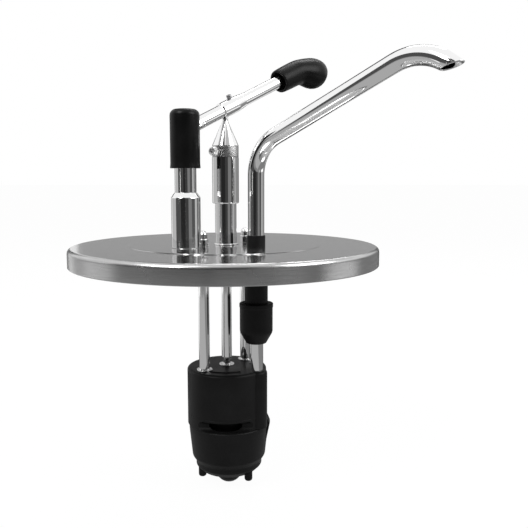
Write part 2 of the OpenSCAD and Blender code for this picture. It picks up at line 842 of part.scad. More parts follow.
// Half section of the cup's outside, from its rounded rim to the chamfered foot ring
module cup_section() {
    polygon([[0, rim_z], [cup_d / 2 - cup_lip_r, rim_z], [cup_d / 2, rim_z - cup_lip_r],
        [cup_d / 2, rim_z - 3 * cup_lip_r], [cup_low_d / 2, cup_low_z],
        [foot_d / 2, cup_low_z - cup_step_h], [foot_d / 2, foot_z + foot_chamfer],
        [foot_d / 2 - foot_chamfer, foot_z], [0, foot_z]]);
    translate([cup_d / 2 - cup_lip_r, rim_z - cup_lip_r]) circle(r = cup_lip_r);
}

// A wedge on the cup's right that reaches up beside the body
module cup_catch() {
    wall = body_d / 2 + fit_clear;
    low = rim_z - catch_drop;
    color(black) rotate([0, 0, -catch_span / 2]) rotate_extrude(angle = catch_span) polygon([
        [wall, rim_z + catch_rise], [wall + catch_t, rim_z + fit_clear], [wall + catch_t, rim_z - cup_lip_r],
        [wall, low], [wall - catch_t, low], [wall - catch_t, rim_z - cup_lip_r], [wall, rim_z - cup_lip_r]]);
}

module valve_cup() {
    socket_d = barrel_d + 2 * fit_clear;
    color(black) at_column() difference() {
        union() {
            difference() {
                union() {
                    translate([cup_shift, 0, 0]) rotate_extrude() cup_section();
                    cup_catch();
                }
                rod(lip_d, rim_z - ring_lip - fit_clear, rim_z + over);
                rod(lip_d - 2 * cup_socket_wall, cup_low_z, rim_z + over);
            }
            rod(socket_d + 2 * cup_socket_wall, cup_low_z - over, barrel_z + cup_socket_h);
            translate([cup_shift, 0, foot_z - dome_drop]) sphere(d = dome_d);
            translate([cup_shift, 0, 0]) for (turn = [77, 197, 317]) rotate([0, 0, turn])
                translate([peg_at, 0, 0]) {
                    rod(peg_d, foot_z - peg_h + peg_d / 2, foot_z + foot_chamfer);
                    translate([0, 0, foot_z - peg_h + peg_d / 2]) sphere(d = peg_d);
                }
        }
        rod(socket_d, barrel_z, rim_z + over);
        rod(chamber_d, inlet_seat_z, barrel_z + over);
        rod(inlet_d, foot_z - dome_d, barrel_z);
        tube(2 * cup_seal_at + cup_seal_d, 2 * cup_seal_at - cup_seal_d, barrel_z - cup_seal_d / 2, barrel_z + over);
    }
}

module cup_seal() {
    color(soft_black) at_column() tube(2 * cup_seal_at + cup_seal_d - 2 * fit_clear,
        2 * cup_seal_at - cup_seal_d + 2 * fit_clear, barrel_z - cup_seal_d / 2, barrel_z - fit_clear);
}

// A disc with three holes that keeps a ball under it
module cage(d, from_z) {
    difference() {
        rod(d, from_z, from_z + cage_t);
        for (turn = [0, 120, 240]) rotate([0, 0, turn])
            translate([d / 4, 0, 0]) rod(min(cage_hole_d, 0.32 * d), from_z - over, from_z + cage_t + over);
    }
}

module inlet_cage() {
    color(white_plastic) at_column() cage(chamber_d - 2 * fit_clear, inlet_cage_z);
}

module outlet_cage() {
    color(white_plastic) at_spout() cage(outlet_bore_d - 2 * fit_clear, outlet_cage_z);
}

// Room for the stem as the lever swings: it slides along the rod by a few millimetres
module stem_pocket() {
    low = arm - stem_d / 2 - pocket_clear;
    high = arm * cos(lever_rise) + stem_rise * sin(lever_rise) + stem_d / 2 / cos(lever_rise) + pocket_clear;
    roof = stem_rise * cos(lever_rise) - arm * sin(lever_rise) + pocket_clear + move_gap;
    half = stem_d / 2 + pocket_clear / 2;
    on_lever() translate([low, -half, -hub_d]) cube([high - low, 2 * half, hub_d + roof]);
}

module lever_rod() {
    color(bright_steel) difference() {
        along_lever() rod(lever_d, -lever_tail, lever_reach + lever_grip_depth);
        on_lever() rotate([90, 0, 0]) rod(pin_d, -lever_d, lever_d);
        stem_pocket();
    }
}

module lever_hub() {
    taper_at = hub_start + hub_l;
    color(steel) difference() {
        union() {
            along_lever() rod(hub_d, hub_start, taper_at);
            along_lever(taper_at) cylinder(d1 = hub_d, d2 = hub_end_d, h = hub_taper_l);
        }
        along_lever() rod(lever_d + 2 * fit_clear, hub_start - over, taper_at + hub_taper_l + over);
        on_lever() translate([hub_start + hub_screw_at, 0, 0]) rod(hub_screw_d, 0, hub_d);
        stem_pocket();
    }
}

module hub_screw() {
    low = lever_d / 2 + fit_clear;
    high = hub_d / 2 + hub_screw_h;
    socket_flats = 0.5 * hub_screw_d;
    color(bright_steel) on_lever() translate([hub_start + hub_screw_at, 0, 0]) difference() {
        rod(hub_screw_d - 2 * fit_clear, low, high);
        hexagon(socket_flats, high - hub_screw_h / 2, high + over);
    }
}

// The grip: a turned neck on the lever's line, and a bulb that droops from it
module grip() {
    neck_end = lever_reach + grip_neck_l;
    flare_l = grip_neck_l / 2;
    edge = 1.2;
    color(black) difference() {
        union() {
            along_lever(lever_reach) rotate_extrude() polygon([[0, 0], [grip_mouth_d / 2 - edge, 0],
                [grip_mouth_d / 2, edge], [grip_neck_d / 2, flare_l], [grip_neck_d / 2, grip_neck_l],
                [0, grip_neck_l]]);
            on_lever() hull() {
                translate([neck_end, 0, 0]) sphere(d = grip_neck_d, $fn = 32);
                for (side = [-1, 1])
                    translate([lever_reach + grip_bulb_at + side * grip_bulb_l / 2, 0, -grip_droop])
                        sphere(d = grip_bulb_d, $fn = 32);
            }
        }
        along_lever() rod(lever_d + 2 * fit_clear, lever_reach - over, lever_reach + lever_grip_depth + fit_clear);
        along_lever() rod(grip_recess_d, lever_reach - over, lever_reach + grip_recess_l);
    }
}

module plunger_cone() {
    pit = thumb_shaft_d + 2 * run_clear;
    color(bright_steel) at_column() difference() {
        union() {
            rod(shank_d, shank_z, cone_z);
            translate([0, 0, cone_z]) cylinder(d1 = sleeve_d, d2 = stem_d, h = cone_h);
            rod(stem_d, cone_z + cone_h - over, stem_top - stem_d / 2);
            translate([0, 0, stem_top - stem_d / 2]) sphere(d = stem_d);
        }
        rod(rod_stud_d + 2 * fit_clear, shank_z - over, cone_z);
        rotate([0, 0, thumb_az]) translate([0, 0, thumb_z]) rotate([0, 90, 0]) rod(pit, shank_d / 4, shank_d);
    }
}

// Half of the knurl's teeth are points and half are valleys
module knurl_outline() {
    polygon([for (i = [0:2 * knurl_count - 1]) let (
            r = sleeve_d / 2 + (i % 2 == 0 ? knurl_t : 0),
            turn = 180 * i / knurl_count
        ) [r * cos(turn), r * sin(turn)]]);
}

module plunger_sleeve() {
    edge = 0.8;
    color(bright_steel) at_column() difference() {
        union() {
            rod(sleeve_d, sleeve_z + edge, cone_z);
            translate([0, 0, sleeve_z]) cylinder(d1 = sleeve_d - 2 * edge, d2 = sleeve_d, h = edge);
            translate([0, 0, cone_z - knurl_h]) linear_extrude(knurl_h) knurl_outline();
        }
        rod(sleeve_bore_d, sleeve_z - over, cone_z + over);
        rotate([0, 0, thumb_az]) translate([0, 0, thumb_z]) rotate([0, 90, 0])
            rod(thumb_shaft_d + 2 * run_clear, 0, sleeve_d);
    }
}

module piston_rod() {
    neck_z = pump_top + gland_h + rod_neck_l;
    color(bright_steel) at_column() {
        rod(rod_stud_d, shank_z - over, shank_z + 0.8 * shank_h);
        rod(piston_rod_d, neck_z, shank_z);
        rod(rod_neck_d, pump_top + gland_h - over, neck_z + over);
        rod(piston_rod_d, piston_top, pump_top + gland_h);
        rod(rod_stud_d, piston_top - piston_h - piston_nut_h, piston_top + over);
    }
}

module stop_collar() {
    top = deck - guide_spigot_h - move_gap;
    color(bright_steel) at_column() tube(stop_d, piston_rod_d + 2 * fit_clear, top - stop_h, top);
}

module piston() {
    groove_z = piston_top - piston_h / 2 - seal_groove_h / 2;
    color(white_plastic) at_column() difference() {
        rod(piston_d, piston_top - piston_h, piston_top);
        tube(2 * piston_d, seal_groove_d, groove_z, groove_z + seal_groove_h);
        rod(rod_stud_d + 2 * fit_clear, piston_top - piston_h - over, piston_top + over);
    }
}

module piston_seal() {
    middle = piston_top - piston_h / 2;
    half = seal_groove_h / 2 - fit_clear;
    color(soft_black) at_column() tube(piston_seal_d, seal_groove_d + 2 * fit_clear, middle - half, middle + half);
}

module piston_nut() {
    top = piston_top - piston_h;
    color(bright_steel) at_column() difference() {
        hexagon(piston_nut_flats, top - piston_nut_h, top);
        rod(rod_stud_d + 2 * fit_clear, top - piston_nut_h - over, top + over);
    }
}

module thumb_screw() {
    head_at = sleeve_d / 2 + knurl_t + move_gap;
    shaft_at = shank_d / 4 + move_gap;
    recess_d = 0.5 * thumb_d;
    color(bright_steel) at_column() rotate([0, 0, thumb_az]) translate([0, 0, thumb_z]) rotate([0, 90, 0])
        difference() {
            union() {
                rod(thumb_shaft_d, shaft_at, head_at + over);
                rod(thumb_d, head_at, head_at + thumb_l);
            }
            hexagon(recess_d, head_at + 0.6 * thumb_l, head_at + thumb_l + over);
        }
}

// The bent part of the spout is one skin of rings, each square to the tube's line
spout_sides = 40;
bend_steps = 12;
mouth_steps = 14;
skin_step = 0.02;
corner_z = deck + spout_corner_h;
bend_z = corner_z - spout_bend_r * tan((90 - spout_rise) / 2);
arm_z = corner_z + spout_reach * tan(spout_rise);
mouth_centre = [spout_reach + mouth_bend_r * sin(spout_rise), arm_z - mouth_bend_r * cos(spout_rise)];

// A place on a bend about a centre, where the tube has the slope given: level place, height, slope
function on_bend(centre, r, slope) = [centre.x - r * sin(slope), centre.y + r * cos(slope), slope];
function spout_ring(at, r, cut = 0) = [for (j = [0:spout_sides - 1]) let (
        lift = r * cos(360 * j / spout_sides),
        ahead = cut > 0 ? lift / tan(cut) : 0
    ) [at[0] - lift * sin(at[2]) + ahead * cos(at[2]), r * sin(360 * j / spout_sides),
        at[1] + lift * cos(at[2]) + ahead * sin(at[2])]];
spout_stations = concat(
    [for (i = [0:bend_steps]) on_bend([spout_bend_r, bend_z], spout_bend_r,
        90 - (90 - spout_rise) * i / bend_steps)],
    [for (i = [0:mouth_steps - 2]) on_bend(mouth_centre, mouth_bend_r,
        spout_rise - (spout_rise + mouth_fall) * i / mouth_steps)]);
spout_mouth = on_bend(mouth_centre, mouth_bend_r, -mouth_fall);
function spout_skin(r) = concat([for (at = spout_stations) each spout_ring(at, r)],
    spout_ring(spout_mouth, r, mouth_fall + mouth_cut));
spout_last = len(spout_stations);
function spout_index(skin, i, j) = (skin * (spout_last + 1) + i) * spout_sides + j % spout_sides;

// Two triangles for each face with four corners
function halves(a, b, c, d) = [[a, c, b], [a, d, c]];
spout_faces = [for (j = [0:spout_sides - 1]) each concat(
    [for (i = [0:spout_last - 1]) each concat(
        halves(spout_index(0, i, j), spout_index(0, i + 1, j),
            spout_index(0, i + 1, j + 1), spout_index(0, i, j + 1)),
        halves(spout_index(1, i, j), spout_index(1, i, j + 1),
            spout_index(1, i + 1, j + 1), spout_index(1, i + 1, j)))],
    halves(spout_index(0, 0, j), spout_index(0, 0, j + 1), spout_index(1, 0, j + 1), spout_index(1, 0, j)),
    halves(spout_index(0, spout_last, j), spout_index(1, spout_last, j),
        spout_index(1, spout_last, j + 1), spout_index(0, spout_last, j + 1)))];

module spout_tube() {
    color(bright_steel) at_spout() rotate([0, 0, spout_az]) {
        tube(spout_d, spout_d - 2 * spout_wall, spout_foot, bend_z);
        polyhedron(points = concat(spout_skin(spout_d / 2 - skin_step),
            spout_skin(spout_d / 2 - spout_wall + skin_step)), faces = spout_faces);
    }
}

module inlet_ball() {
    color(bright_steel) at_column() translate([0, 0, inlet_ball_z]) sphere(d = inlet_ball_d);
}

module outlet_ball() {
    color(bright_steel) at_spout() translate([0, 0, outlet_ball_z]) sphere(d = outlet_ball_d);
}

lid();
post_sleeve();
post_tube();
post_cap();
fulcrum_pin();
post_screw();
post_washer();
guide_tube();
guide_bush();
guide_nut();
return_spring();
tie_rods();
rod_washers();
cap_nuts();
spout_socket();
socket_nut();
coupling_nut();
spout_seal();
riser_tube();
riser_seal();
pump_cover();
pump_body();
intake_ring();
rod_gland();
gland_seal();
valve_cup();
cup_seal();
inlet_cage();
outlet_cage();
lever_rod();
lever_hub();
hub_screw();
grip();
plunger_cone();
plunger_sleeve();
piston_rod();
stop_collar();
piston();
piston_seal();
piston_nut();
thumb_screw();
spout_tube();
inlet_ball();
outlet_ball();
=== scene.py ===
import json
from math import atan2, cos, floor, pi, radians, sin, tan

import bmesh
import bpy
from mathutils import Matrix, Vector

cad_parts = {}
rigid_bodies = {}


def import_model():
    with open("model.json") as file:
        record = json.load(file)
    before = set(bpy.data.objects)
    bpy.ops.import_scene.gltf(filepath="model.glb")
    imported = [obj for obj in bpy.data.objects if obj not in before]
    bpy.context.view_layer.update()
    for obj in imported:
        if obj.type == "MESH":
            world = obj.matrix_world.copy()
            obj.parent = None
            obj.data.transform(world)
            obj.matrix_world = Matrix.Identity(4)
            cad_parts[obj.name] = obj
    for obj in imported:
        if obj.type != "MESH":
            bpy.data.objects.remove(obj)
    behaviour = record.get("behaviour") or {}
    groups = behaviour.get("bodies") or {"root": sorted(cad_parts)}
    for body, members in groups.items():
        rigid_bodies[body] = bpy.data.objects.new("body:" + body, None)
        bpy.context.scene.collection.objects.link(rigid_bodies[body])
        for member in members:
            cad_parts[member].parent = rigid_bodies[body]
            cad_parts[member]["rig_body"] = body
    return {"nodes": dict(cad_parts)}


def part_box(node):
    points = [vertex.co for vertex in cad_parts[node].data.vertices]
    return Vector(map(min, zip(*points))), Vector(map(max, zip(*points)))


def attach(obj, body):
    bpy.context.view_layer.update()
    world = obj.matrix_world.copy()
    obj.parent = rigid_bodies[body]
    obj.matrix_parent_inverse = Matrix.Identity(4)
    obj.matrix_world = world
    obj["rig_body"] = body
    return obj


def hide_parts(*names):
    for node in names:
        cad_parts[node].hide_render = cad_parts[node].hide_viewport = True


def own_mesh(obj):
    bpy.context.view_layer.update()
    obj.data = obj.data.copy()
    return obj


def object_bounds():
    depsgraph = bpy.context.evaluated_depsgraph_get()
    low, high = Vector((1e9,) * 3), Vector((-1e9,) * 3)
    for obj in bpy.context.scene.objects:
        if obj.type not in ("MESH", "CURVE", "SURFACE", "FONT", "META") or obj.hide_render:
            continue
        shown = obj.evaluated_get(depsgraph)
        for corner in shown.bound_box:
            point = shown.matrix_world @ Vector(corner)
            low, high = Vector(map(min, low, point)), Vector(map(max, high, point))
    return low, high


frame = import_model()
cad_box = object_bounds()
scene = bpy.context.scene
scene.view_settings.view_transform = "Standard"
MM = 0.001

# Camera. It stands where the photograph was taken from, 0.6 m in front of the pump and a little
# above its lid, and looks slightly down.
LENS, SENSOR, LOOK_DOWN = 46.8, 36, 7.35
camera_data = bpy.data.cameras.new("camera")
camera_data.lens = LENS
camera_data.sensor_width = SENSOR
camera = bpy.data.objects.new("camera", camera_data)
camera.location = (0.0344, -0.6006, 0.0618)
camera.rotation_euler = (radians(90 - LOOK_DOWN), 0, 0)
scene.collection.objects.link(camera)
scene.camera = camera


# Studio. White surroundings, a pale floor and large soft lamps. Dark, grey and bright cards stand
# and lie out of view, and give polished metal its stripes.
SKY_ON_OBJECT, SKY_SEEN = 0.62, 1.0


def seen_directly(tree):
    """One where a ray from the camera, a mirror or clear glass arrives, else nought."""
    path = tree.nodes.new("ShaderNodeLightPath")
    both = tree.nodes.new("ShaderNodeMath")
    both.operation = "MAXIMUM"
    tree.links.new(path.outputs["Is Camera Ray"], both.inputs[0])
    tree.links.new(path.outputs["Is Glossy Ray"], both.inputs[1])
    every = tree.nodes.new("ShaderNodeMath")
    every.operation = "MAXIMUM"
    tree.links.new(both.outputs[0], every.inputs[0])
    tree.links.new(path.outputs["Is Transmission Ray"], every.inputs[1])
    return every.outputs[0]


world = bpy.data.worlds.new("studio")
world.use_nodes = True
scene.world = world
sky = world.node_tree
sky.nodes.clear()
sky_mix = sky.nodes.new("ShaderNodeMixShader")
sky_out = sky.nodes.new("ShaderNodeOutputWorld")
for socket, strength in ((1, SKY_ON_OBJECT), (2, SKY_SEEN)):
    tone = sky.nodes.new("ShaderNodeBackground")
    tone.inputs["Color"].default_value = (1, 1, 1, 1)
    tone.inputs["Strength"].default_value = strength
    sky.links.new(tone.outputs[0], sky_mix.inputs[socket])
sky.links.new(seen_directly(sky), sky_mix.inputs[0])
sky.links.new(sky_mix.outputs[0], sky_out.inputs["Surface"])


def sheet(name, width, height, place, material):
    """A flat upright sheet that faces the back before it is placed."""
    shape = bmesh.new()
    bmesh.ops.create_grid(shape, x_segments=1, y_segments=1, size=0.5)
    shape.transform(Matrix.Diagonal((width, height, 1, 1)))
    shape.transform(Matrix.Rotation(pi / 2, 4, "X"))
    shape.transform(place)
    mesh = bpy.data.meshes.new(name)
    shape.to_mesh(mesh)
    shape.free()
    mesh.materials.append(material)
    made = bpy.data.objects.new(name, mesh)
    scene.collection.objects.link(made)
    return made


FLOOR_SIDE = 40
FLOOR_TONE = (0.9, 0.9, 0.9, 1)
FLOOR_WHITE = 0.965
floor_paint = bpy.data.materials.new("floor_paint")
floor_paint.use_nodes = True
paint = floor_paint.node_tree
paint.nodes.clear()
floor_mix = paint.nodes.new("ShaderNodeMixShader")
floor_matt = paint.nodes.new("ShaderNodeBsdfDiffuse")
floor_matt.inputs["Color"].default_value = FLOOR_TONE
floor_white = paint.nodes.new("ShaderNodeEmission")
floor_white.inputs["Color"].default_value = (1, 1, 1, 1)
floor_share = paint.nodes.new("ShaderNodeMath")
floor_share.operation = "MULTIPLY"
floor_share.inputs[1].default_value = FLOOR_WHITE
floor_out = paint.nodes.new("ShaderNodeOutputMaterial")
paint.links.new(seen_directly(paint), floor_share.inputs[0])
paint.links.new(floor_share.outputs[0], floor_mix.inputs[0])
paint.links.new(floor_matt.outputs[0], floor_mix.inputs[1])
paint.links.new(floor_white.outputs[0], floor_mix.inputs[2])
paint.links.new(floor_mix.outputs[0], floor_out.inputs["Surface"])
floor_z = cad_box[0][2]
floor_place = Matrix.Translation((0, 0, floor_z)) @ Matrix.Rotation(-pi / 2, 4, "X")
sheet("floor", FLOOR_SIDE, FLOOR_SIDE, floor_place, floor_paint)


def card_paint(name, tone):
    """Card that shines evenly, as brightly as its tone."""
    material = bpy.data.materials.new(name)
    material.use_nodes = True
    tree = material.node_tree
    tree.nodes.clear()
    glow = tree.nodes.new("ShaderNodeEmission")
    glow.inputs["Color"].default_value = (1, 1, 1, 1)
    glow.inputs["Strength"].default_value = tone
    out = tree.nodes.new("ShaderNodeOutputMaterial")
    tree.links.new(glow.outputs[0], out.inputs["Surface"])
    return material


# Cards whose tops are below LOW_TOP stand a step in front of the others
CARD_DISTANCE, CARD_STEP, LOW_TOP = 1.0, 0.02, 0.1
# Name, direction from the object (0 is the camera's, right is positive), width in degrees, foot,
# top and tone of each card
CARDS = (
    ("card_left", -101, 50, -0.2, 0.16, 0.5),
    ("card_front_left", -55, 42, -0.2, 0.6, 0.075),
    ("card_front", -17, 34, -0.2, 0.6, 0.02),
    ("card_front_right", 12, 24, -0.2, 0.6, 0.05),
    ("card_grey", 37, 26, -0.2, 0.6, 0.2),
    ("card_right_dark", 64, 28, -0.2, 0.3, 0.09),
    ("card_right_light", 88, 20, -0.2, 0.2, 0.5),
    ("card_right", 122, 48, -0.2, 0.2, 0.27),
    ("card_edge_right", 152, 12, -0.2, 0.4, 0.04),
    ("card_back", 180, 44, -0.2, 0.5, 0.4),
    ("card_edge_left", 215, 14, -0.2, 0.4, 0.04),
    ("card_high", -17, 26, 0.6, 1.3, 0.08),
    ("card_high_grey", 22, 50, 0.6, 1.3, 0.5),
    ("card_high_back", 180, 60, 0.6, 1.4, 0.06),
    ("lamp_window", -50, 1.6, 0.02, 0.07, 3.0),
    ("low_left", -93, 36, -0.21, -0.09, 1.0),
    ("low_front_left", -58, 34, -0.21, -0.09, 0.3),
    ("low_front", -23, 34, -0.21, -0.09, 0.24),
    ("low_front_right", 12, 34, -0.21, -0.09, 0.26),
    ("low_grey", 48, 36, -0.21, -0.09, 0.4),
    ("low_right", 86, 36, -0.21, -0.09, 1.2),
)
MAT_LIFT = 0.003
# Name, middle, width, depth and tone of each card that lies on the floor
MATS = (
    ("mat_left", (-0.55, -0.45), 1.7, 1.3, 0.42),
    ("mat_right", (0.85, -0.25), 1.1, 1.7, 0.22),
    ("mat_back", (-0.05, 0.65), 0.7, 0.9, 0.05),
)


def card(name, width, height, place, tone):
    """A card that only polished surfaces show."""
    made = sheet(name, width, height, place, card_paint(name, tone))
    made.visible_camera = False
    made.visible_diffuse = False
    made.visible_shadow = False


for name, turn, span, foot, top, tone in CARDS:
    distance = CARD_DISTANCE - (CARD_STEP if top < LOW_TOP else 0)
    width = 2 * distance * tan(radians(span / 2))
    card(
        name, width, top - foot,
        Matrix.Rotation(radians(turn), 4, "Z")
        @ Matrix.Translation((0, -distance, (foot + top) / 2)), tone)
for name, (x, y), width, depth, tone in MATS:
    card(
        name, width, depth,
        Matrix.Translation((x, y, floor_z + MAT_LIFT)) @ Matrix.Rotation(-pi / 2, 4, "X"), tone)

# Name, place, side and power of each lamp; all of them point at the middle of the object
LAMPS = (
    ("lamp_key", (-0.9, -1.1, 1.3), 0.9, 22),
    ("lamp_fill", (1.4, -0.6, 0.9), 1.0, 14),
    ("lamp_back", (0.3, 1.2, 1.4), 0.9, 14),
)
for name, at, side, power in LAMPS:
    lamp_data = bpy.data.lights.new(name, "AREA")
    lamp_data.size = side
    lamp_data.energy = power
    lamp = bpy.data.objects.new(name, lamp_data)
    lamp.location = at
    lamp.rotation_euler = (-Vector(at)).to_track_quat("-Z", "Y").to_euler()
    scene.collection.objects.link(lamp)


# Lid. A round pail lid pressed from stainless sheet, with a slightly raised middle and a skirt that
# is hemmed inside. It is brushed in circles, and a little worn where hands and cloths have been.
def group(name, inputs, outputs):
    """An empty shader group with number sockets, and its two end nodes."""
    tree = bpy.data.node_groups.new(name, "ShaderNodeTree")
    for label, value in inputs.items():
        socket = tree.interface.new_socket(label, in_out="INPUT", socket_type="NodeSocketFloat")
        socket.default_value = value
    for label in outputs:
        tree.interface.new_socket(label, in_out="OUTPUT", socket_type="NodeSocketFloat")
    return tree, tree.nodes.new("NodeGroupInput"), tree.nodes.new("NodeGroupOutput")


def math_node(tree, operation, first, second=None):
    """One sum in a tree; each term is a socket or a number."""
    node = tree.nodes.new("ShaderNodeMath")
    node.operation = operation
    for socket, term in zip(node.inputs, (first, second)):
        if isinstance(term, (int, float)):
            socket.default_value = term
        elif term is not None:
            tree.links.new(term, socket)
    return node.outputs[0]


def noise_node(tree, vector, scale, detail=2.0, rough=0.5):
    """Noise on the coordinates given, from nought to one."""
    node = tree.nodes.new("ShaderNodeTexNoise")
    node.inputs["Detail"].default_value = detail
    node.inputs["Roughness"].default_value = rough
    tree.links.new(vector, node.inputs["Vector"])
    if isinstance(scale, (int, float)):
        node.inputs["Scale"].default_value = scale
    else:
        tree.links.new(scale, node.inputs["Scale"])
    return node.outputs["Fac"]


def axis_distance(tree, split):
    """How far a split place lies from the upright axis."""
    return math_node(tree, "SQRT", math_node(
        tree, "ADD",
        math_node(tree, "MULTIPLY", split.outputs[0], split.outputs[0]),
        math_node(tree, "MULTIPLY", split.outputs[1], split.outputs[1])))


# Lines that run round the object's upright axis, as from a brush or a lathe tool
brushing, brush_in, brush_out = group(
    "brushing", {"Lines": 4000, "Length": 6}, ("Lines", "Clouds"))
brushing.interface.new_socket("Place", in_out="INPUT", socket_type="NodeSocketVector")
split = brushing.nodes.new("ShaderNodeSeparateXYZ")
brushing.links.new(brush_in.outputs["Place"], split.inputs[0])
across = axis_distance(brushing, split)
NEXT_TO_AXIS = 1e-5
safe = math_node(brushing, "MAXIMUM", across, NEXT_TO_AXIS)
join = brushing.nodes.new("ShaderNodeCombineXYZ")
brushing.links.new(math_node(
    brushing, "MULTIPLY", math_node(brushing, "ADD", across, split.outputs[2]),
    brush_in.outputs["Lines"]), join.inputs[0])
for axis in (0, 1):
    turn = math_node(brushing, "DIVIDE", split.outputs[axis], safe)
    brushing.links.new(
        math_node(brushing, "MULTIPLY", turn, brush_in.outputs["Length"]), join.inputs[axis + 1])
brushing.links.new(noise_node(brushing, join.outputs[0], 1.0, 3.0, 0.6), brush_out.inputs["Lines"])
brushing.links.new(
    noise_node(brushing, brush_in.outputs["Place"], 18.0, 3.0), brush_out.inputs["Clouds"])


FINISH = "_finish"


def finish(name, colour, metallic, roughness, **sockets):
    """A Principled material with its tree, its shader and its object coordinates."""
    material = bpy.data.materials.new(name + FINISH)
    material.use_nodes = True
    tree = material.node_tree
    shader = tree.nodes["Principled BSDF"]
    shader.inputs["Base Color"].default_value = (*colour, 1)
    shader.inputs["Metallic"].default_value = metallic
    shader.inputs["Roughness"].default_value = roughness
    for label, value in sockets.items():
        shader.inputs[label.replace("_", " ")].default_value = value
    place = tree.nodes.new("ShaderNodeTexCoord").outputs["Object"]
    return material, tree, shader, place


def spread(tree, value, low, high, from_low=0.3, from_high=0.7):
    """A mask brought from its own range to the range of a shader's socket."""
    node = tree.nodes.new("ShaderNodeMapRange")
    for label, number in (
            ("From Min", from_low), ("From Max", from_high), ("To Min", low), ("To Max", high)):
        node.inputs[label].default_value = number
    tree.links.new(value, node.inputs["Value"])
    return node.outputs["Result"]


def tint(tree, value, dark, light):
    """A colour between two, by a mask."""
    node = tree.nodes.new("ShaderNodeMix")
    node.data_type = "RGBA"
    node.inputs[6].default_value = (*dark, 1)
    node.inputs[7].default_value = (*light, 1)
    tree.links.new(value, node.inputs[0])
    return node.outputs[2]


def relief(tree, shader, height, distance, strength=1.0):
    """Bump on a shader's normal."""
    bump = tree.nodes.new("ShaderNodeBump")
    bump.inputs["Distance"].default_value = distance
    bump.inputs["Strength"].default_value = strength
    tree.links.new(height, bump.inputs["Height"])
    tree.links.new(bump.outputs["Normal"], shader.inputs["Normal"])


def add_group(tree, shared, **values):
    """A shared group in a tree; each value is a socket or a number."""
    node = tree.nodes.new("ShaderNodeGroup")
    node.node_tree = shared
    for label, value in values.items():
        if isinstance(value, (int, float)):
            node.inputs[label].default_value = value
        else:
            tree.links.new(value, node.inputs[label])
    return node


def brushed_metal(name, colour, rough, lines, depth, contrast):
    """Metal with fine lines round the upright axis and cloudy wear."""
    material, tree, shader, place = finish(name, colour, 1, rough[0])
    marks = add_group(tree, brushing, Place=place, Lines=lines)
    tree.links.new(spread(tree, marks.outputs["Clouds"], *rough), shader.inputs["Roughness"])
    dark = tuple(c * (1 - contrast) for c in colour)
    light = tuple(min(1, c * (1 + contrast)) for c in colour)
    tone = spread(tree, marks.outputs["Lines"], 0, 1, 0.35, 0.65)
    tree.links.new(tint(tree, tone, dark, light), shader.inputs["Base Color"])
    relief(tree, shader, marks.outputs["Lines"], depth, 0.6)
    return material


# The skirt is brushed coarsely, and the top so finely that it mirrors what stands on it
LID_TONE = (0.5, 0.5, 0.5)
LID_LINES = 3000
brushed_lid = brushed_metal(
    "brushed_lid", LID_TONE, (0.25, 0.29), LID_LINES, depth=0.00002, contrast=0.1)
lid_top = brushed_metal(
    "lid_top", LID_TONE, (0.13, 0.16), LID_LINES, depth=0.00001, contrast=0.1)

ROUND_STEPS = 96
ROUNDING_STEPS = 5
MERGE = 1e-6
SHARP = radians(42)


def piece(name, shape, material, body, stands_for=()):
    """A finished piece from a mesh under construction, riding on a body."""
    mesh = bpy.data.meshes.new(name)
    shape.to_mesh(mesh)
    shape.free()
    mesh.shade_smooth()
    mesh.set_sharp_from_angle(angle=SHARP)
    mesh.materials.append(material)
    made = bpy.data.objects.new(name, mesh)
    scene.collection.objects.link(made)
    even = made.modifiers.new("even_shading", "WEIGHTED_NORMAL")
    even.keep_sharp = True
    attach(made, body)
    if stands_for:
        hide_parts(*stands_for)
    return made


def turned(outline, place=None, ring=False, steps=ROUND_STEPS):
    """An outline of (radius, height[, rounding]) points in millimetres, spun about the Z axis."""
    shape = bmesh.new()
    corners = [shape.verts.new((point[0] * MM, 0, point[1] * MM)) for point in outline]
    for pair in zip(corners, corners[1:] + corners[:1] if ring else corners[1:]):
        shape.edges.new(pair)
    for corner, point in zip(corners, outline):
        if len(point) > 2:
            bmesh.ops.bevel(
                shape, geom=[corner], offset=point[2] * MM, segments=ROUNDING_STEPS,
                profile=0.5, affect="VERTICES", material=-1)
    bmesh.ops.spin(
        shape, geom=shape.verts[:] + shape.edges[:], cent=(0, 0, 0), axis=(0, 0, 1),
        dvec=(0, 0, 0), angle=2 * pi, steps=steps, use_merge=True, use_duplicate=False)
    bmesh.ops.remove_doubles(shape, verts=shape.verts, dist=MERGE)
    bmesh.ops.recalc_face_normals(shape, faces=shape.faces)
    if place is not None:
        shape.transform(place)
    return shape


def cylinder(radius, low, high, place=None, steps=ROUND_STEPS):
    """A plain cylinder between two heights in millimetres."""
    return turned(((0, low), (radius, low), (radius, high), (0, high)), place, steps=steps)


lid_shape = turned((
    (0, 2.3), (82, 2.3, 0.7), (84.5, 1.5, 0.7), (134, 1.5, 4), (134, -14.5, 0.7),
    (131, -14.5, 0.7), (131, -9.5, 0.4), (132.5, -9.5), (132.5, 0, 2.5), (84.5, 0), (82, 0.8),
    (0, 0.8)), steps=256)
lid_piece = piece("lid_sheet", lid_shape, brushed_lid, "pump_frame", ("lid",))
lid_piece.data.materials.append(lid_top)
# Faces that look up, with their normals this near the upright, take the finer finish
LEVEL = 0.9
for face in lid_piece.data.polygons:
    face.material_index = int(face.normal.z > LEVEL)


# Fulcrum post. A polished post screwed to the lid from below, in a heavy sleeve with a tapered top.
# Its forked head holds the lever's pin under a black moulded cap with a window for the lever.
def axis_of(node):
    """The upright line through the middle of a CAD node, as a placing."""
    low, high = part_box(node)
    return Matrix.Translation(((low.x + high.x) / 2, (low.y + high.y) / 2, 0))


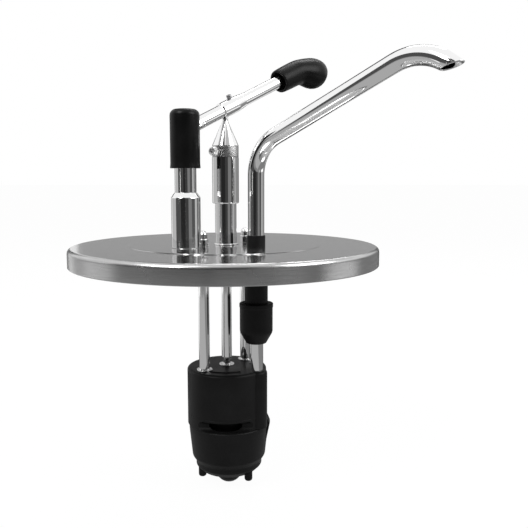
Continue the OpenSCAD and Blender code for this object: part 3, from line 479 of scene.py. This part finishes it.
smudging, smudge_in, smudge_out = group("smudging", {"Size": 25}, ("Smudges", "Specks"))
smudging.interface.new_socket("Place", in_out="INPUT", socket_type="NodeSocketVector")
smudging.links.new(
    noise_node(smudging, smudge_in.outputs["Place"], smudge_in.outputs["Size"], 3.0),
    smudge_out.inputs["Smudges"])
fine_size = math_node(smudging, "MULTIPLY", smudge_in.outputs["Size"], 22.0)
smudging.links.new(
    noise_node(smudging, smudge_in.outputs["Place"], fine_size, 2.0), smudge_out.inputs["Specks"])


def polished_metal(name, colour, rough, size=30):
    """Mirror-polished metal with faint smudges from handling."""
    material, tree, shader, place = finish(name, colour, 1, rough[0])
    marks = add_group(tree, smudging, Place=place, Size=size)
    tree.links.new(spread(tree, marks.outputs["Smudges"], *rough), shader.inputs["Roughness"])
    relief(tree, shader, marks.outputs["Smudges"], 0.00004, 0.35)
    return material


polished_steel = polished_metal("polished_steel", (0.9, 0.9, 0.9), (0.035, 0.08))
post_centre = axis_of("post_sleeve")
post_shape = turned(
    ((9.05, 2.3), (12.15, 2.3, 0.5), (12.15, 43.8, 0.5), (9.425, 47.8, 0.3), (9.05, 47.8)),
    post_centre, ring=True)
piece("post_collar", post_shape, polished_steel, "pump_frame", ("post_sleeve",))


def smoothed(node, material):
    """A CAD node's own shape with its loose faces joined, for metal that mirrors smoothly."""
    shape = bmesh.new()
    shape.from_mesh(frame["nodes"][node].data)
    bmesh.ops.remove_doubles(shape, verts=shape.verts, dist=MERGE)
    body = frame["nodes"][node]["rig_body"]
    return piece(node + "_finished", shape, material, body, (node,))


for node in ("post_tube", "fulcrum_pin", "post_screw", "post_washer"):
    smoothed(node, polished_steel)


def moulded(name, dark, light, rough, size, depth, **sockets):
    """Black moulding with a fine grain, a little dust and rubbed patches."""
    material, tree, shader, place = finish(name, dark, 0, rough[0], **sockets)
    marks = add_group(tree, smudging, Place=place, Size=size)
    tree.links.new(spread(tree, marks.outputs["Smudges"], *rough), shader.inputs["Roughness"])
    tone = spread(tree, marks.outputs["Smudges"], 0, 1)
    tree.links.new(tint(tree, tone, dark, light), shader.inputs["Base Color"])
    relief(tree, shader, marks.outputs["Specks"], depth, 0.5)
    return material


black_cap = moulded(
    "black_cap", (0.002, 0.002, 0.002), (0.004, 0.004, 0.004), (0.28, 0.38), 40, 0.00005,
    Specular_IOR_Level=0.14)


def cut(shape, cutter, operation="DIFFERENCE"):
    """One mesh with another taken out of it, or joined to it."""
    objects = []
    for number, part in enumerate((shape, cutter)):
        mesh = bpy.data.meshes.new(f"cut_{number}")
        part.to_mesh(mesh)
        part.free()
        objects.append(bpy.data.objects.new(f"cut_{number}", mesh))
        scene.collection.objects.link(objects[-1])
    taken = objects[0].modifiers.new("cut", "BOOLEAN")
    taken.operation = operation
    taken.solver = "EXACT"
    taken.object = objects[1]
    bpy.context.view_layer.update()
    seen = objects[0].evaluated_get(bpy.context.evaluated_depsgraph_get())
    left = bmesh.new()
    left.from_mesh(seen.to_mesh())
    seen.to_mesh_clear()
    for part in objects:
        bpy.data.objects.remove(part)
    return left


def block(x, y, z, place, rounding=0):
    """A block between two corners in millimetres, placed."""
    shape = bmesh.new()
    bmesh.ops.create_cube(shape, size=1)
    shape.transform(Matrix.Diagonal((*[(b - a) * MM for a, b in (x, y, z)], 1)))
    shape.transform(Matrix.Translation([(a + b) / 2 * MM for a, b in (x, y, z)]))
    if rounding:
        bmesh.ops.bevel(
            shape, geom=shape.edges[:], offset=rounding * MM, segments=3, profile=0.5,
            affect="EDGES", material=-1)
    shape.transform(place)
    return shape


LEVER_TURN = radians(41.611)
LEVER_RISE = radians(24.6)
PIVOT_Z = 98.3
cap_shape = turned(
    ((0, 115.2), (12.2, 115.2, 5), (12.2, 71.6, 1), (12.5, 67.6, 0.5), (9.05, 67.6, 0.3),
     (9.05, 110.7), (0, 110.7)), post_centre)
WINDOW_BELOW, WINDOW_ABOVE, WINDOW_HALF = 9.1, 12.4, 5.9
window = block(
    (3, 30), (-WINDOW_HALF, WINDOW_HALF), (PIVOT_Z - WINDOW_BELOW, PIVOT_Z + WINDOW_ABOVE),
    post_centre @ Matrix.Rotation(LEVER_TURN, 4, "Z"), 1.2)
piece("post_cap_moulding", cut(cap_shape, window), black_cap, "pump_frame", ("post_cap",))

# Lever. A polished round bar that swings on the pin, with a set-screwed hub over the pocket that
# takes the plunger's stem, and a black moulded grip whose bulb droops from the bar's line.
lever_place = (
    post_centre @ Matrix.Translation((0, 0, PIVOT_Z * MM))
    @ Matrix.Rotation(LEVER_TURN, 4, "Z") @ Matrix.Rotation(-LEVER_RISE, 4, "Y"))
along_lever = lever_place @ Matrix.Rotation(pi / 2, 4, "Y")


def stem_pocket():
    """The room under the bar in which the plunger's stem moves."""
    return block((38.6, 48.3), (-2.9, 2.9), (-13, -1.7), lever_place, 0.4)


rod_shape = turned(((0, -5.5), (5.5, -5.5, 0.6), (5.5, 139.8, 0.4), (0, 139.8)), along_lever)
pin_hole = cylinder(2.5, -9, 9, lever_place @ Matrix.Rotation(pi / 2, 4, "X"))
rod_shape = cut(cut(rod_shape, stem_pocket()), pin_hole)
piece("lever_bar", rod_shape, polished_steel, "lever", ("lever_rod",))
hub_shape = turned(
    ((5.55, 41.5), (6.7, 41.5, 0.25), (6.7, 58, 1.5), (5.9, 67, 0.3), (5.55, 67)),
    along_lever, ring=True)
piece("lever_hub_sleeve", cut(hub_shape, stem_pocket()), polished_steel, "lever", ("lever_hub",))

spring_steel = polished_metal("spring_steel", (0.4, 0.4, 0.41), (0.22, 0.34), 60)
SCREW_ALONG = 54.5
screw_place = lever_place @ Matrix.Translation((SCREW_ALONG * MM, 0, 0))
screw_shape = turned(
    ((0, 5.55), (2.15, 5.55), (2.15, 9.7, 0.35), (0, 9.7)), screw_place, steps=32)
screw_socket = cylinder(1.2, 8, 11, screw_place, steps=6)
piece("hub_set_screw", cut(screw_shape, screw_socket), spring_steel, "lever", ("hub_screw",))

# Distance from the bar's pin, drop below its line, height and width of the grip at each section
GRIP_SECTIONS = (
    (113.8, 0, 9.6, 9.6), (114.3, 0, 10.2, 10.2), (115.6, 0, 10.5, 10.5), (124.8, 0, 10.9, 10.9),
    (133.8, 0, 11.0, 11.0), (138.5, -0.2, 11.2, 11.2), (143.0, -1.8, 12.4, 12.0),
    (148.5, -4.8, 14.4, 13.0), (154.5, -6.8, 15.0, 13.7), (160.5, -7.7, 14.4, 13.6),
    (166.0, -8.1, 12.1, 11.8), (170.5, -8.2, 8.9, 8.8), (173.6, -8.2, 5.2, 5.2),
    (175.3, -8.2, 1.4, 1.4))
GRIP_STEPS = 32


def drawn_out(shape, edges):
    """The corners and the edges of the new ring that is drawn out of a ring of edges."""
    made = bmesh.ops.extrude_edge_only(shape, edges=edges)["geom"]
    corners = [item for item in made if isinstance(item, bmesh.types.BMVert)]
    return corners, [
        item for item in made
        if isinstance(item, bmesh.types.BMEdge) and all(v in corners for v in item.verts)]


# Radius and distance from the pin of the rings by which the mouth is sunk round the bar and closed
MOUTH_RINGS = ((7.8, 113.8), (7.8, 118.8), (5.55, 118.8), (5.55, 139.9))
grip_shape = bmesh.new()
rings = []
for along, drop, high, wide in GRIP_SECTIONS:
    made = bmesh.ops.create_circle(
        grip_shape, cap_ends=False, radius=1, segments=GRIP_STEPS)["verts"]
    place = (
        lever_place @ Matrix.Translation((along * MM, 0, drop * MM))
        @ Matrix.Diagonal((1, wide * MM, high * MM, 1)) @ Matrix.Rotation(pi / 2, 4, "Y"))
    bmesh.ops.transform(grip_shape, matrix=place, verts=made)
    rings.append(list({edge for vert in made for edge in vert.link_edges}))
for pair in zip(rings, rings[1:]):
    bmesh.ops.bridge_loops(grip_shape, edges=pair[0] + pair[1])
bmesh.ops.edgeloop_fill(grip_shape, edges=rings[-1])
for radius, along in MOUTH_RINGS:
    inner, rings[0] = drawn_out(grip_shape, rings[0])
    for vert in inner:
        local = lever_place.inverted() @ vert.co
        side = Vector((0, local.y, local.z)).normalized() * radius * MM
        vert.co = lever_place @ Vector((along * MM, side.y, side.z))
bmesh.ops.edgeloop_fill(grip_shape, edges=rings[0])
bmesh.ops.recalc_face_normals(grip_shape, faces=grip_shape.faces)
grip_piece = piece("lever_grip", grip_shape, black_cap, "lever", ("grip",))
grip_round = grip_piece.modifiers.new("grip_round", "SUBSURF")
grip_round.levels = 1
grip_round.render_levels = 1

# Plunger. A cone whose stem is pressed by the lever, in a sleeve with a diamond-knurled band and a
# thumb screw, over the guide tube. The piston rod hangs from the cone.
column_centre = axis_of("guide_tube")
cone_shape = turned(
    ((0, 76.9), (9.6, 76.9), (9.6, 86.9), (11.5, 86.9, 0.15), (2.5, 107.6, 0.4), (2.5, 114.3, 2.4),
     (0, 114.3)), column_centre)
piece("plunger_cone_turned", cone_shape, polished_steel, "plunger", ("plunger_cone",))
sleeve_shape = turned(
    ((9.7, 37.9), (10.9, 37.9, 0.3), (11.5, 38.7, 0.3), (11.5, 77.2), (11, 77.4), (11, 86.7),
     (11.5, 86.9), (9.7, 86.9)), column_centre, ring=True)
piece("plunger_sleeve_turned", sleeve_shape, polished_steel, "plunger", ("plunger_sleeve",))

KNURL_COUNT, KNURL_ROWS, DIAMOND_STEPS = 40, 44, 8
KNURL_LOW, KNURL_HIGH, KNURL_BACK, KNURL_R, KNURL_DEEP = 77.5, 86.6, 10.9, 11.2, 0.24
KNURL_SKIN = (KNURL_R - 0.1) * MM
KNURL_EDGE = 0.05
knurl_shape = turned(
    ((KNURL_BACK, KNURL_LOW), (KNURL_R, KNURL_LOW), (KNURL_R, KNURL_HIGH),
     (KNURL_BACK, KNURL_HIGH)), ring=True, steps=KNURL_COUNT * DIAMOND_STEPS)
tall = [
    edge for edge in knurl_shape.edges
    if abs(edge.verts[0].co.z - edge.verts[1].co.z) > MM
    and edge.verts[0].co.xy.length > KNURL_SKIN]
bmesh.ops.subdivide_edges(knurl_shape, edges=tall, cuts=KNURL_ROWS, use_grid_fill=True)


def ridge(value):
    """A saw-tooth wave that runs from nought at whole numbers to one between them."""
    return 1 - abs(2 * (value - floor(value)) - 1)


for vert in knurl_shape.verts:
    height = vert.co.z / MM
    if vert.co.xy.length < KNURL_SKIN:
        continue
    if not KNURL_LOW + KNURL_EDGE < height < KNURL_HIGH - KNURL_EDGE:
        continue
    turn = atan2(vert.co.y, vert.co.x) / (2 * pi) * KNURL_COUNT
    climb = height / (2 * pi * KNURL_R) * KNURL_COUNT
    rise = min(ridge(turn + climb), ridge(turn - climb)) * KNURL_DEEP
    vert.co.xy *= 1 + rise / KNURL_R
knurl_shape.transform(column_centre)


def moved(tree, place, x, y):
    """Object coordinates with the pattern's upright axis at a place on the object."""
    node = tree.nodes.new("ShaderNodeMapping")
    node.inputs["Location"].default_value = (-x, -y, 0)
    tree.links.new(place, node.inputs["Vector"])
    return node.outputs["Vector"]


# The valleys between the diamonds are painted dark, as painted shade in the grooves, and the ridges
# keep the steel's light tone
VALLEY_SHADE, RIDGE, RIDGE_SHARE = (0.12, 0.12, 0.12), (0.95, 0.95, 0.95), 0.7
knurled_steel, knurl_tree, knurl_shader, knurl_place = finish(
    "knurled_steel", (0.9, 0.9, 0.9), 1, 0.08)
knurl_split = knurl_tree.nodes.new("ShaderNodeSeparateXYZ")
knurl_tree.links.new(
    moved(knurl_tree, knurl_place, *column_centre.translation.xy), knurl_split.inputs[0])
groove_shade_mask = spread(
    knurl_tree, axis_distance(knurl_tree, knurl_split), 0, 1, KNURL_R * MM,
    (KNURL_R + RIDGE_SHARE * KNURL_DEEP) * MM)
# Painted shade: the base colour darkens towards the valleys, by distance from the sleeve's axis
knurl_tree.links.new(
    tint(knurl_tree, groove_shade_mask, VALLEY_SHADE, RIDGE), knurl_shader.inputs["Base Color"])
piece("sleeve_knurling", knurl_shape, knurled_steel, "plunger")

THUMB_TURN = radians(230)
THUMB_Z = 82.05
THUMB_NOTCHES, NOTCH_SHARE, NOTCH_FROM = 32, 0.09, 3.6
thumb_place = (
    column_centre @ Matrix.Rotation(THUMB_TURN, 4, "Z")
    @ Matrix.Translation((0, 0, THUMB_Z * MM)) @ Matrix.Rotation(pi / 2, 4, "Y"))
thumb_shape = turned(
    ((0, 5.3), (1.95, 5.3, 0.3), (1.95, 12.15), (3.4, 12.15, 0.3), (3.7, 12.6), (3.7, 16.7, 0.2),
     (3.3, 17.15, 0.2), (2.1, 17.15, 0.3), (1.9, 15.2), (0, 15.2)), steps=64)
for vert in thumb_shape.verts:
    if vert.co.xy.length > NOTCH_FROM * MM:
        turn = atan2(vert.co.y, vert.co.x) / (2 * pi) * THUMB_NOTCHES
        vert.co.xy *= 1 - NOTCH_SHARE * ridge(turn)
thumb_shape.transform(thumb_place)
piece("thumb_screw_knurled", thumb_shape, polished_steel, "thumb", ("thumb_screw",))

guide_shape = turned(
    ((8.1, -5.7), (8.7, -5.7, 0.3), (8.7, 2.3), (10.5, 2.3, 0.2), (10.5, 3.5, 0.5), (9.3, 3.5),
     (9.3, 47.3, 0.4), (8.1, 47.3, 0.3)), column_centre, ring=True)
piece("guide_tube_turned", guide_shape, polished_steel, "pump_frame", ("guide_tube",))
piston_rod_shape = turned(
    ((0, -126), (3, -126, 0.4), (3, -112), (4.5, -112, 0.3), (4.5, -104, 0.4), (3.3, -104, 0.3),
     (3.3, -98.5, 0.6), (4.5, -98.5, 0.8), (4.5, 76.9, 0.3), (3, 76.9), (3, 84.9, 0.4), (0, 84.9)),
    column_centre)
piece("piston_rod_turned", piston_rod_shape, polished_steel, "plunger", ("piston_rod",))
for node in ("guide_nut", "stop_collar", "piston_nut"):
    smoothed(node, polished_steel)

# Return spring. Plain drawn wire wound round the piston rod inside the guide tube; it is squeezed
# between the guide's bush and the cone when the lever is pressed.
SPRING_TURNS, SPRING_R, SPRING_WIRE, TURN_STEPS = 14, 6.3, 0.6, 28
SPRING_LOW, SPRING_HIGH = 9.0, 76.2
spring_shape = bmesh.new()
wire_end = bmesh.ops.create_circle(
    spring_shape, cap_ends=True, radius=SPRING_WIRE * MM, segments=12)["verts"]
bmesh.ops.transform(
    spring_shape, verts=wire_end,
    matrix=Matrix.Translation((SPRING_R * MM, 0, SPRING_LOW * MM))
    @ Matrix.Rotation(pi / 2, 4, "X"))
bmesh.ops.spin(
    spring_shape, geom=spring_shape.verts[:] + spring_shape.edges[:] + spring_shape.faces[:],
    cent=(0, 0, 0), axis=(0, 0, 1),
    dvec=(0, 0, (SPRING_HIGH - SPRING_LOW) * MM / (SPRING_TURNS * TURN_STEPS)),
    angle=2 * pi * SPRING_TURNS, steps=SPRING_TURNS * TURN_STEPS, use_merge=False,
    use_duplicate=False)
bmesh.ops.recalc_face_normals(spring_shape, faces=spring_shape.faces)
spring_shape.transform(column_centre)
spring_piece = piece(
    "return_spring_wire", spring_shape, spring_steel, "pump_frame", ("return_spring",))
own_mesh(spring_piece)

# Spout. One polished tube, bent twice, that stands in a black socket through the lid and swivels
# there. Its mouth is cut at a slant, and the edge is smoothed.
SPOUT_TURN = radians(-42.2)
SPOUT_R, SPOUT_WALL = 7, 1
SPOUT_FOOT, BEND_R, MOUTH_R = -54.7, 34.5, 45
ARM_RISE, MOUTH_FALL, MOUTH_CUT = radians(22.7), radians(38), radians(18)
SPOUT_REACH = 131
CORNER_Z = 84.5
STRAIGHT_STEPS, BEND_STEPS, MOUTH_STEPS = 8, 16, 17
MOUTH_EVEN, MOUTH_LAST = 0.85, 0.15
LIP_WIDTH = 0.25
BEND_Z = CORNER_Z - BEND_R * tan((pi / 2 - ARM_RISE) / 2)
spout_centre = axis_of("spout_socket")
spout_shape = bmesh.new()
foot_ring = bmesh.ops.create_circle(
    spout_shape, cap_ends=False, radius=SPOUT_R * MM, segments=64)["verts"]
bmesh.ops.translate(spout_shape, verts=foot_ring, vec=(0, 0, SPOUT_FOOT * MM))
last = spout_shape.verts[:] + spout_shape.edges[:]


def drawn_on(shape, last, step, count):
    """The tube drawn on from its last ring in straight steps."""
    for _ in range(count):
        corners, edges = drawn_out(
            shape, [item for item in last if isinstance(item, bmesh.types.BMEdge)])
        bmesh.ops.translate(shape, verts=corners, vec=step)
        last = corners + edges
    return last


def bent_on(shape, last, centre, angle, steps):
    """The tube bent on from its last ring, round a centre in its own upright plane."""
    return bmesh.ops.spin(
        shape, geom=last, cent=(centre[0] * MM, 0, centre[1] * MM), axis=(0, 1, 0),
        dvec=(0, 0, 0), angle=angle, steps=steps, use_merge=False, use_duplicate=False)["geom_last"]


last = drawn_on(
    spout_shape, last, (0, 0, (BEND_Z - SPOUT_FOOT) * MM / STRAIGHT_STEPS), STRAIGHT_STEPS)
last = bent_on(spout_shape, last, (BEND_R, BEND_Z), pi / 2 - ARM_RISE, BEND_STEPS)
bend_end = (BEND_R - BEND_R * sin(ARM_RISE), BEND_Z + BEND_R * cos(ARM_RISE))
arm = (SPOUT_REACH - bend_end[0]) / cos(ARM_RISE)
last = drawn_on(spout_shape, last, (
    arm * cos(ARM_RISE) * MM / STRAIGHT_STEPS, 0, arm * sin(ARM_RISE) * MM / STRAIGHT_STEPS),
    STRAIGHT_STEPS)
ARM_Z = CORNER_Z + SPOUT_REACH * tan(ARM_RISE)
mouth_centre = (SPOUT_REACH + MOUTH_R * sin(ARM_RISE), ARM_Z - MOUTH_R * cos(ARM_RISE))
# The last rings are left out, so that the slanting cut doesn't cross them
last = bent_on(
    spout_shape, last, mouth_centre, (ARM_RISE + MOUTH_FALL) * MOUTH_EVEN, MOUTH_STEPS)
last = bent_on(spout_shape, last, mouth_centre, (ARM_RISE + MOUTH_FALL) * MOUTH_LAST, 1)
mouth_middle = Vector((
    (mouth_centre[0] + MOUTH_R * sin(MOUTH_FALL)) * MM, 0,
    (mouth_centre[1] + MOUTH_R * cos(MOUTH_FALL)) * MM))
ahead = Vector((cos(MOUTH_FALL), 0, -sin(MOUTH_FALL)))
above = Vector((sin(MOUTH_FALL), 0, cos(MOUTH_FALL)))
for vert in [item for item in last if isinstance(item, bmesh.types.BMVert)]:
    lift = (vert.co - mouth_middle).dot(above)
    vert.co += ahead * lift / tan(MOUTH_FALL + MOUTH_CUT)
bmesh.ops.recalc_face_normals(spout_shape, faces=spout_shape.faces)
spout_shape.transform(spout_centre @ Matrix.Rotation(SPOUT_TURN, 4, "Z"))
spout_piece = piece("spout_tube_bent", spout_shape, polished_steel, "spout", ("spout_tube",))
wall = spout_piece.modifiers.new("wall", "SOLIDIFY")
wall.thickness = SPOUT_WALL * MM
wall.offset = -1
lips = spout_piece.modifiers.new("lips", "BEVEL")
lips.width = LIP_WIDTH * MM
lips.segments = 2
lips.angle_limit = radians(50)

black_moulding = moulded(
    "black_moulding", (0.003, 0.003, 0.003), (0.006, 0.006, 0.0062), (0.38, 0.5), 35, 0.00008,
    Specular_IOR_Level=0.16)
socket_shape = turned(
    ((9, -59.5), (10, -59.5, 0.4), (10, 0.8), (7.8, 0.8), (7.8, 11.6, 0.6), (7.05, 11.6),
     (7.05, -54.7), (9, -54.7)), spout_centre, ring=True)
piece("spout_socket_moulding", socket_shape, black_moulding, "pump_frame", ("spout_socket",))
smoothed("socket_nut", polished_steel)

# Coupling. A black nut that pulls the riser tube's flange up against the socket, with a collar
# round its top and a taper below.
coupling_shape = turned(
    ((10.05, -46.7), (14.55, -46.7, 0.8), (14.55, -50.1, 0.3), (14.2, -50.6, 0.3),
     (14.2, -71.9, 1.8), (8.5, -81.9, 0.8), (6.05, -81.9), (6.05, -61.2), (10.05, -61.2)),
    spout_centre, ring=True)
piece("coupling_nut_moulding", coupling_shape, black_moulding, "pump_frame", ("coupling_nut",))
riser_shape = turned(
    ((5, -118.7), (6, -118.7), (6, -61.2), (9.5, -61.2), (9.5, -59.7), (5, -59.7)),
    spout_centre, ring=True)
piece("riser_tube_turned", riser_shape, polished_steel, "pump_frame", ("riser_tube",))

# Tie rods. Two polished rods carry the pump under the lid. Each has a washer at both ends and a
# domed cap nut on top of the lid.
ROD_TURNS = (radians(222), radians(50))
ROD_RING = 24.8
WASHER_FEET, WASHER_THICK = (-105.8, -0.7), 1.5
rods_shape, washers_shape, nuts_shape = bmesh.new(), bmesh.new(), bmesh.new()


def added(whole, part):
    """One mesh taken into another."""
    mesh = bpy.data.meshes.new("part")
    part.to_mesh(mesh)
    part.free()
    whole.from_mesh(mesh)
    bpy.data.meshes.remove(mesh)


for turn in ROD_TURNS:
    at = column_centre @ Matrix.Translation(
        (ROD_RING * cos(turn) * MM, ROD_RING * sin(turn) * MM, 0))
    added(rods_shape, turned(
        ((0, -118.8), (2.5, -118.8, 0.4), (2.5, -104.3), (4.65, -104.3, 0.2), (4.65, -0.7, 0.2),
         (2.5, -0.7), (2.5, 7.6), (0, 7.6)), at, steps=64))
    for low in WASHER_FEET:
        high = low + WASHER_THICK
        added(washers_shape, turned(
            ((2.55, low), (6.7, low, 0.2), (6.7, high, 0.35), (2.55, high)), at, ring=True))
    hexagon = cylinder(4.39, 2.3, 7.6, at, steps=6)
    bmesh.ops.bevel(
        hexagon, geom=hexagon.edges[:], offset=0.3 * MM, segments=3, profile=0.5,
        affect="EDGES", material=-1)
    added(nuts_shape, hexagon)
    added(nuts_shape, turned(
        ((0, 7.4), (4.4, 7.4, 0.2), (4.4, 8.6, 0.4), (3.7, 8.6), (3.7, 15.5, 3.65), (0, 15.5)), at,
        steps=64))
piece("tie_rods_turned", rods_shape, polished_steel, "pump_frame", ("tie_rods",))
piece("rod_washers_turned", washers_shape, polished_steel, "pump_frame", ("rod_washers",))
piece("cap_nuts_domed", nuts_shape, polished_steel, "pump_frame", ("cap_nuts",))

# Pump. A black moulded body under a cover with a raised rib, with the inlet window in the ring at
# its foot, and a valve cup below with a dome, three pegs and a catch.
PUMP_TOP, BODY_TOP, RIM = -105.8, -110.8, -156.8
PUMP_R, BOSS_R = 35, 9.5
boss_place = Matrix.Translation(spout_centre.translation - column_centre.translation)


def joined(shape, other):
    """Two solids made one."""
    return cut(shape, other, "UNION")


def pump_prism(low, high, rounding=0):
    """The pump's outline, a circle with a boss for the riser, between two heights."""
    shape = bmesh.new()
    added(shape, cylinder(PUMP_R, low, high, steps=128))
    shape = joined(shape, cylinder(BOSS_R, low, high, boss_place, steps=64))
    bmesh.ops.dissolve_limit(
        shape, angle_limit=radians(1), verts=shape.verts[:], edges=shape.edges[:])
    if rounding:
        top = [
            edge for edge in shape.edges
            if all(abs(vert.co.z - high * MM) < MERGE for vert in edge.verts)]
        bmesh.ops.bevel(
            shape, geom=top, offset=rounding * MM, segments=6, profile=0.5, affect="EDGES",
            material=-1)
    return shape


cover_shape = pump_prism(BODY_TOP, PUMP_TOP, 2.8)
cover_shape = cut(cover_shape, cylinder(5.8, -111, -105, steps=64))
cover_shape = cut(cover_shape, cylinder(6.05, -111, -105, boss_place, steps=64))
cover_shape.transform(column_centre)
piece("pump_cover_moulding", cover_shape, black_moulding, "pump_frame", ("pump_cover",))


def arc_of(outline, turn, span, steps):
    """An outline of (radius, height) points swept round part of a circle, with flat ends."""
    shape = bmesh.new()
    face = shape.faces.new([shape.verts.new((r * MM, 0, z * MM)) for r, z in outline])
    shape.transform(Matrix.Rotation(turn - span / 2, 4, "Z"))
    bmesh.ops.spin(
        shape, geom=shape.verts[:] + shape.edges[:] + [face], cent=(0, 0, 0), axis=(0, 0, 1),
        dvec=(0, 0, 0), angle=span, steps=steps, use_merge=False, use_duplicate=False)
    bmesh.ops.recalc_face_normals(shape, faces=shape.faces)
    return shape


rib_shape = arc_of(
    ((24.1, -106.2), (25.9, -106.2), (25.7, -105.2), (25.4, -105.0), (24.6, -105.0),
     (24.3, -105.2)), radians(270), radians(60), 32)
rib_shape.transform(column_centre)
piece("pump_cover_rib", rib_shape, black_moulding, "pump_frame")
gland_shape = turned(
    ((4.55, -108.3), (5.75, -108.3), (5.75, -105.8), (6.75, -105.8, 0.2), (6.75, -104, 0.5),
     (4.55, -104, 0.3)), column_centre, ring=True)
piece("rod_gland_turned", gland_shape, polished_steel, "pump_frame", ("rod_gland",))

body_shape = pump_prism(-145.8, BODY_TOP)
body_shape = joined(body_shape, cylinder(BOSS_R, RIM + 0.1, -144, boss_place, steps=64))
body_shape = joined(body_shape, cylinder(21, -175.3, -144))
body_shape = cut(body_shape, cylinder(18, -157.3, -110))
body_shape = cut(body_shape, cylinder(7, -176, -156, steps=48))
body_shape = cut(body_shape, turned(
    ((0, -149), (4.6, -149), (4.6, -118.8), (6.05, -118.8), (6.05, -110), (0, -110)), boss_place,
    steps=48))
body_shape.transform(column_centre)
piece("pump_body_moulding", body_shape, black_moulding, "pump_frame", ("pump_body",))

ring_shape = turned(
    ((29.5, -162.8), (32.2, -162.8), (32.2, RIM), (35, RIM, 0.4), (35, -145.85, 0.4),
     (29.5, -145.85)), ring=True, steps=128)
ring_shape = cut(ring_shape, cylinder(9.55, RIM, -140, boss_place, steps=48))
WINDOW_Y, WINDOW_Z, WINDOW_R = -30.1, -152.1, 4.3
ring_shape = cut(ring_shape, cylinder(
    WINDOW_R, -40, 40,
    Matrix.Translation((0, WINDOW_Y * MM, WINDOW_Z * MM)) @ Matrix.Rotation(pi / 2, 4, "Y"),
    steps=48))
ring_shape = cut(ring_shape, block(
    (-40, 40), (-60, WINDOW_Y), (WINDOW_Z - WINDOW_R, WINDOW_Z + WINDOW_R), Matrix.Identity(4)))
ring_shape.transform(column_centre)
piece("intake_ring_moulding", ring_shape, black_moulding, "pump_frame", ("intake_ring",))

CUP_SHIFT = Matrix.Translation((1.4 * MM, 0, 0))
DOME_R, DOME_Z = 12.3, -201.5
PEG_TURNS, PEG_RING = (77, 197, 317), 24.5
CATCH_SPAN = radians(24)
cup_shape = turned(
    ((0, -156.8), (35.2, -156.8, 1.5), (35.2, -161.3, 0.8), (32.6, -186.3, 1.0),
     (29.4, -191.3, 0.8), (29.4, -195.3, 1.0), (24.4, -200.3, 1.2), (0, -200.3)), CUP_SHIFT,
    steps=128)
dome = bmesh.new()
bmesh.ops.create_uvsphere(
    dome, u_segments=48, v_segments=24, radius=DOME_R * MM,
    matrix=CUP_SHIFT @ Matrix.Translation((0, 0, DOME_Z * MM)))
cup_shape = joined(cup_shape, dome)
for turn in PEG_TURNS:
    cup_shape = joined(cup_shape, turned(
        ((0, -206), (3.5, -206, 2.2), (3.5, -195.4), (0, -195.4)),
        CUP_SHIFT @ Matrix.Rotation(radians(turn), 4, "Z")
        @ Matrix.Translation((PEG_RING * MM, 0, 0)), steps=32))
cup_shape = joined(cup_shape, arc_of(
    ((35.05, -148.8), (38.45, -156.75), (38.45, -158.3), (35.05, -174.8), (32.3, -174.8),
     (32.3, -158.3), (35.05, -158.3)), 0, CATCH_SPAN, 12))
cup_shape = cut(cup_shape, turned(
    ((0, -156), (32.25, -156), (32.25, -162.9), (28.85, -162.9), (28.85, -186.3),
     (24.45, -186.3), (24.45, -167.3), (21.05, -167.3), (21.05, -175.3), (7, -175.3), (7, -183.3),
     (4.5, -183.3), (4.5, -215), (0, -215)), steps=96))
cup_shape.transform(column_centre)
piece("valve_cup_moulding", cup_shape, black_moulding, "pump_frame", ("valve_cup",))

# Inside the pump. A white acetal piston and bush, rubber seals, and a steel ball under a cage at
# the inlet and at the outlet.
rubber, rubber_tree, rubber_shader, rubber_place = finish("seal_rubber", (0.03, 0.03, 0.03), 0, 0.7)
rubber_marks = add_group(rubber_tree, smudging, Place=rubber_place, Size=60)
rubber_tree.links.new(
    spread(rubber_tree, rubber_marks.outputs["Smudges"], 0.6, 0.85),
    rubber_shader.inputs["Roughness"])
relief(rubber_tree, rubber_shader, rubber_marks.outputs["Specks"], 0.0001, 0.4)
white_plastic = moulded(
    "white_plastic", (0.8, 0.79, 0.75), (0.86, 0.85, 0.81), (0.35, 0.5), 40, 0.00004)
for material, nodes in (
        (rubber, ("spout_seal", "riser_seal", "gland_seal", "cup_seal", "piston_seal")),
        (white_plastic, ("guide_bush", "inlet_cage", "outlet_cage", "piston")),
        (polished_steel, ("inlet_ball", "outlet_ball"))):
    for node in nodes:
        smoothed(node, material)
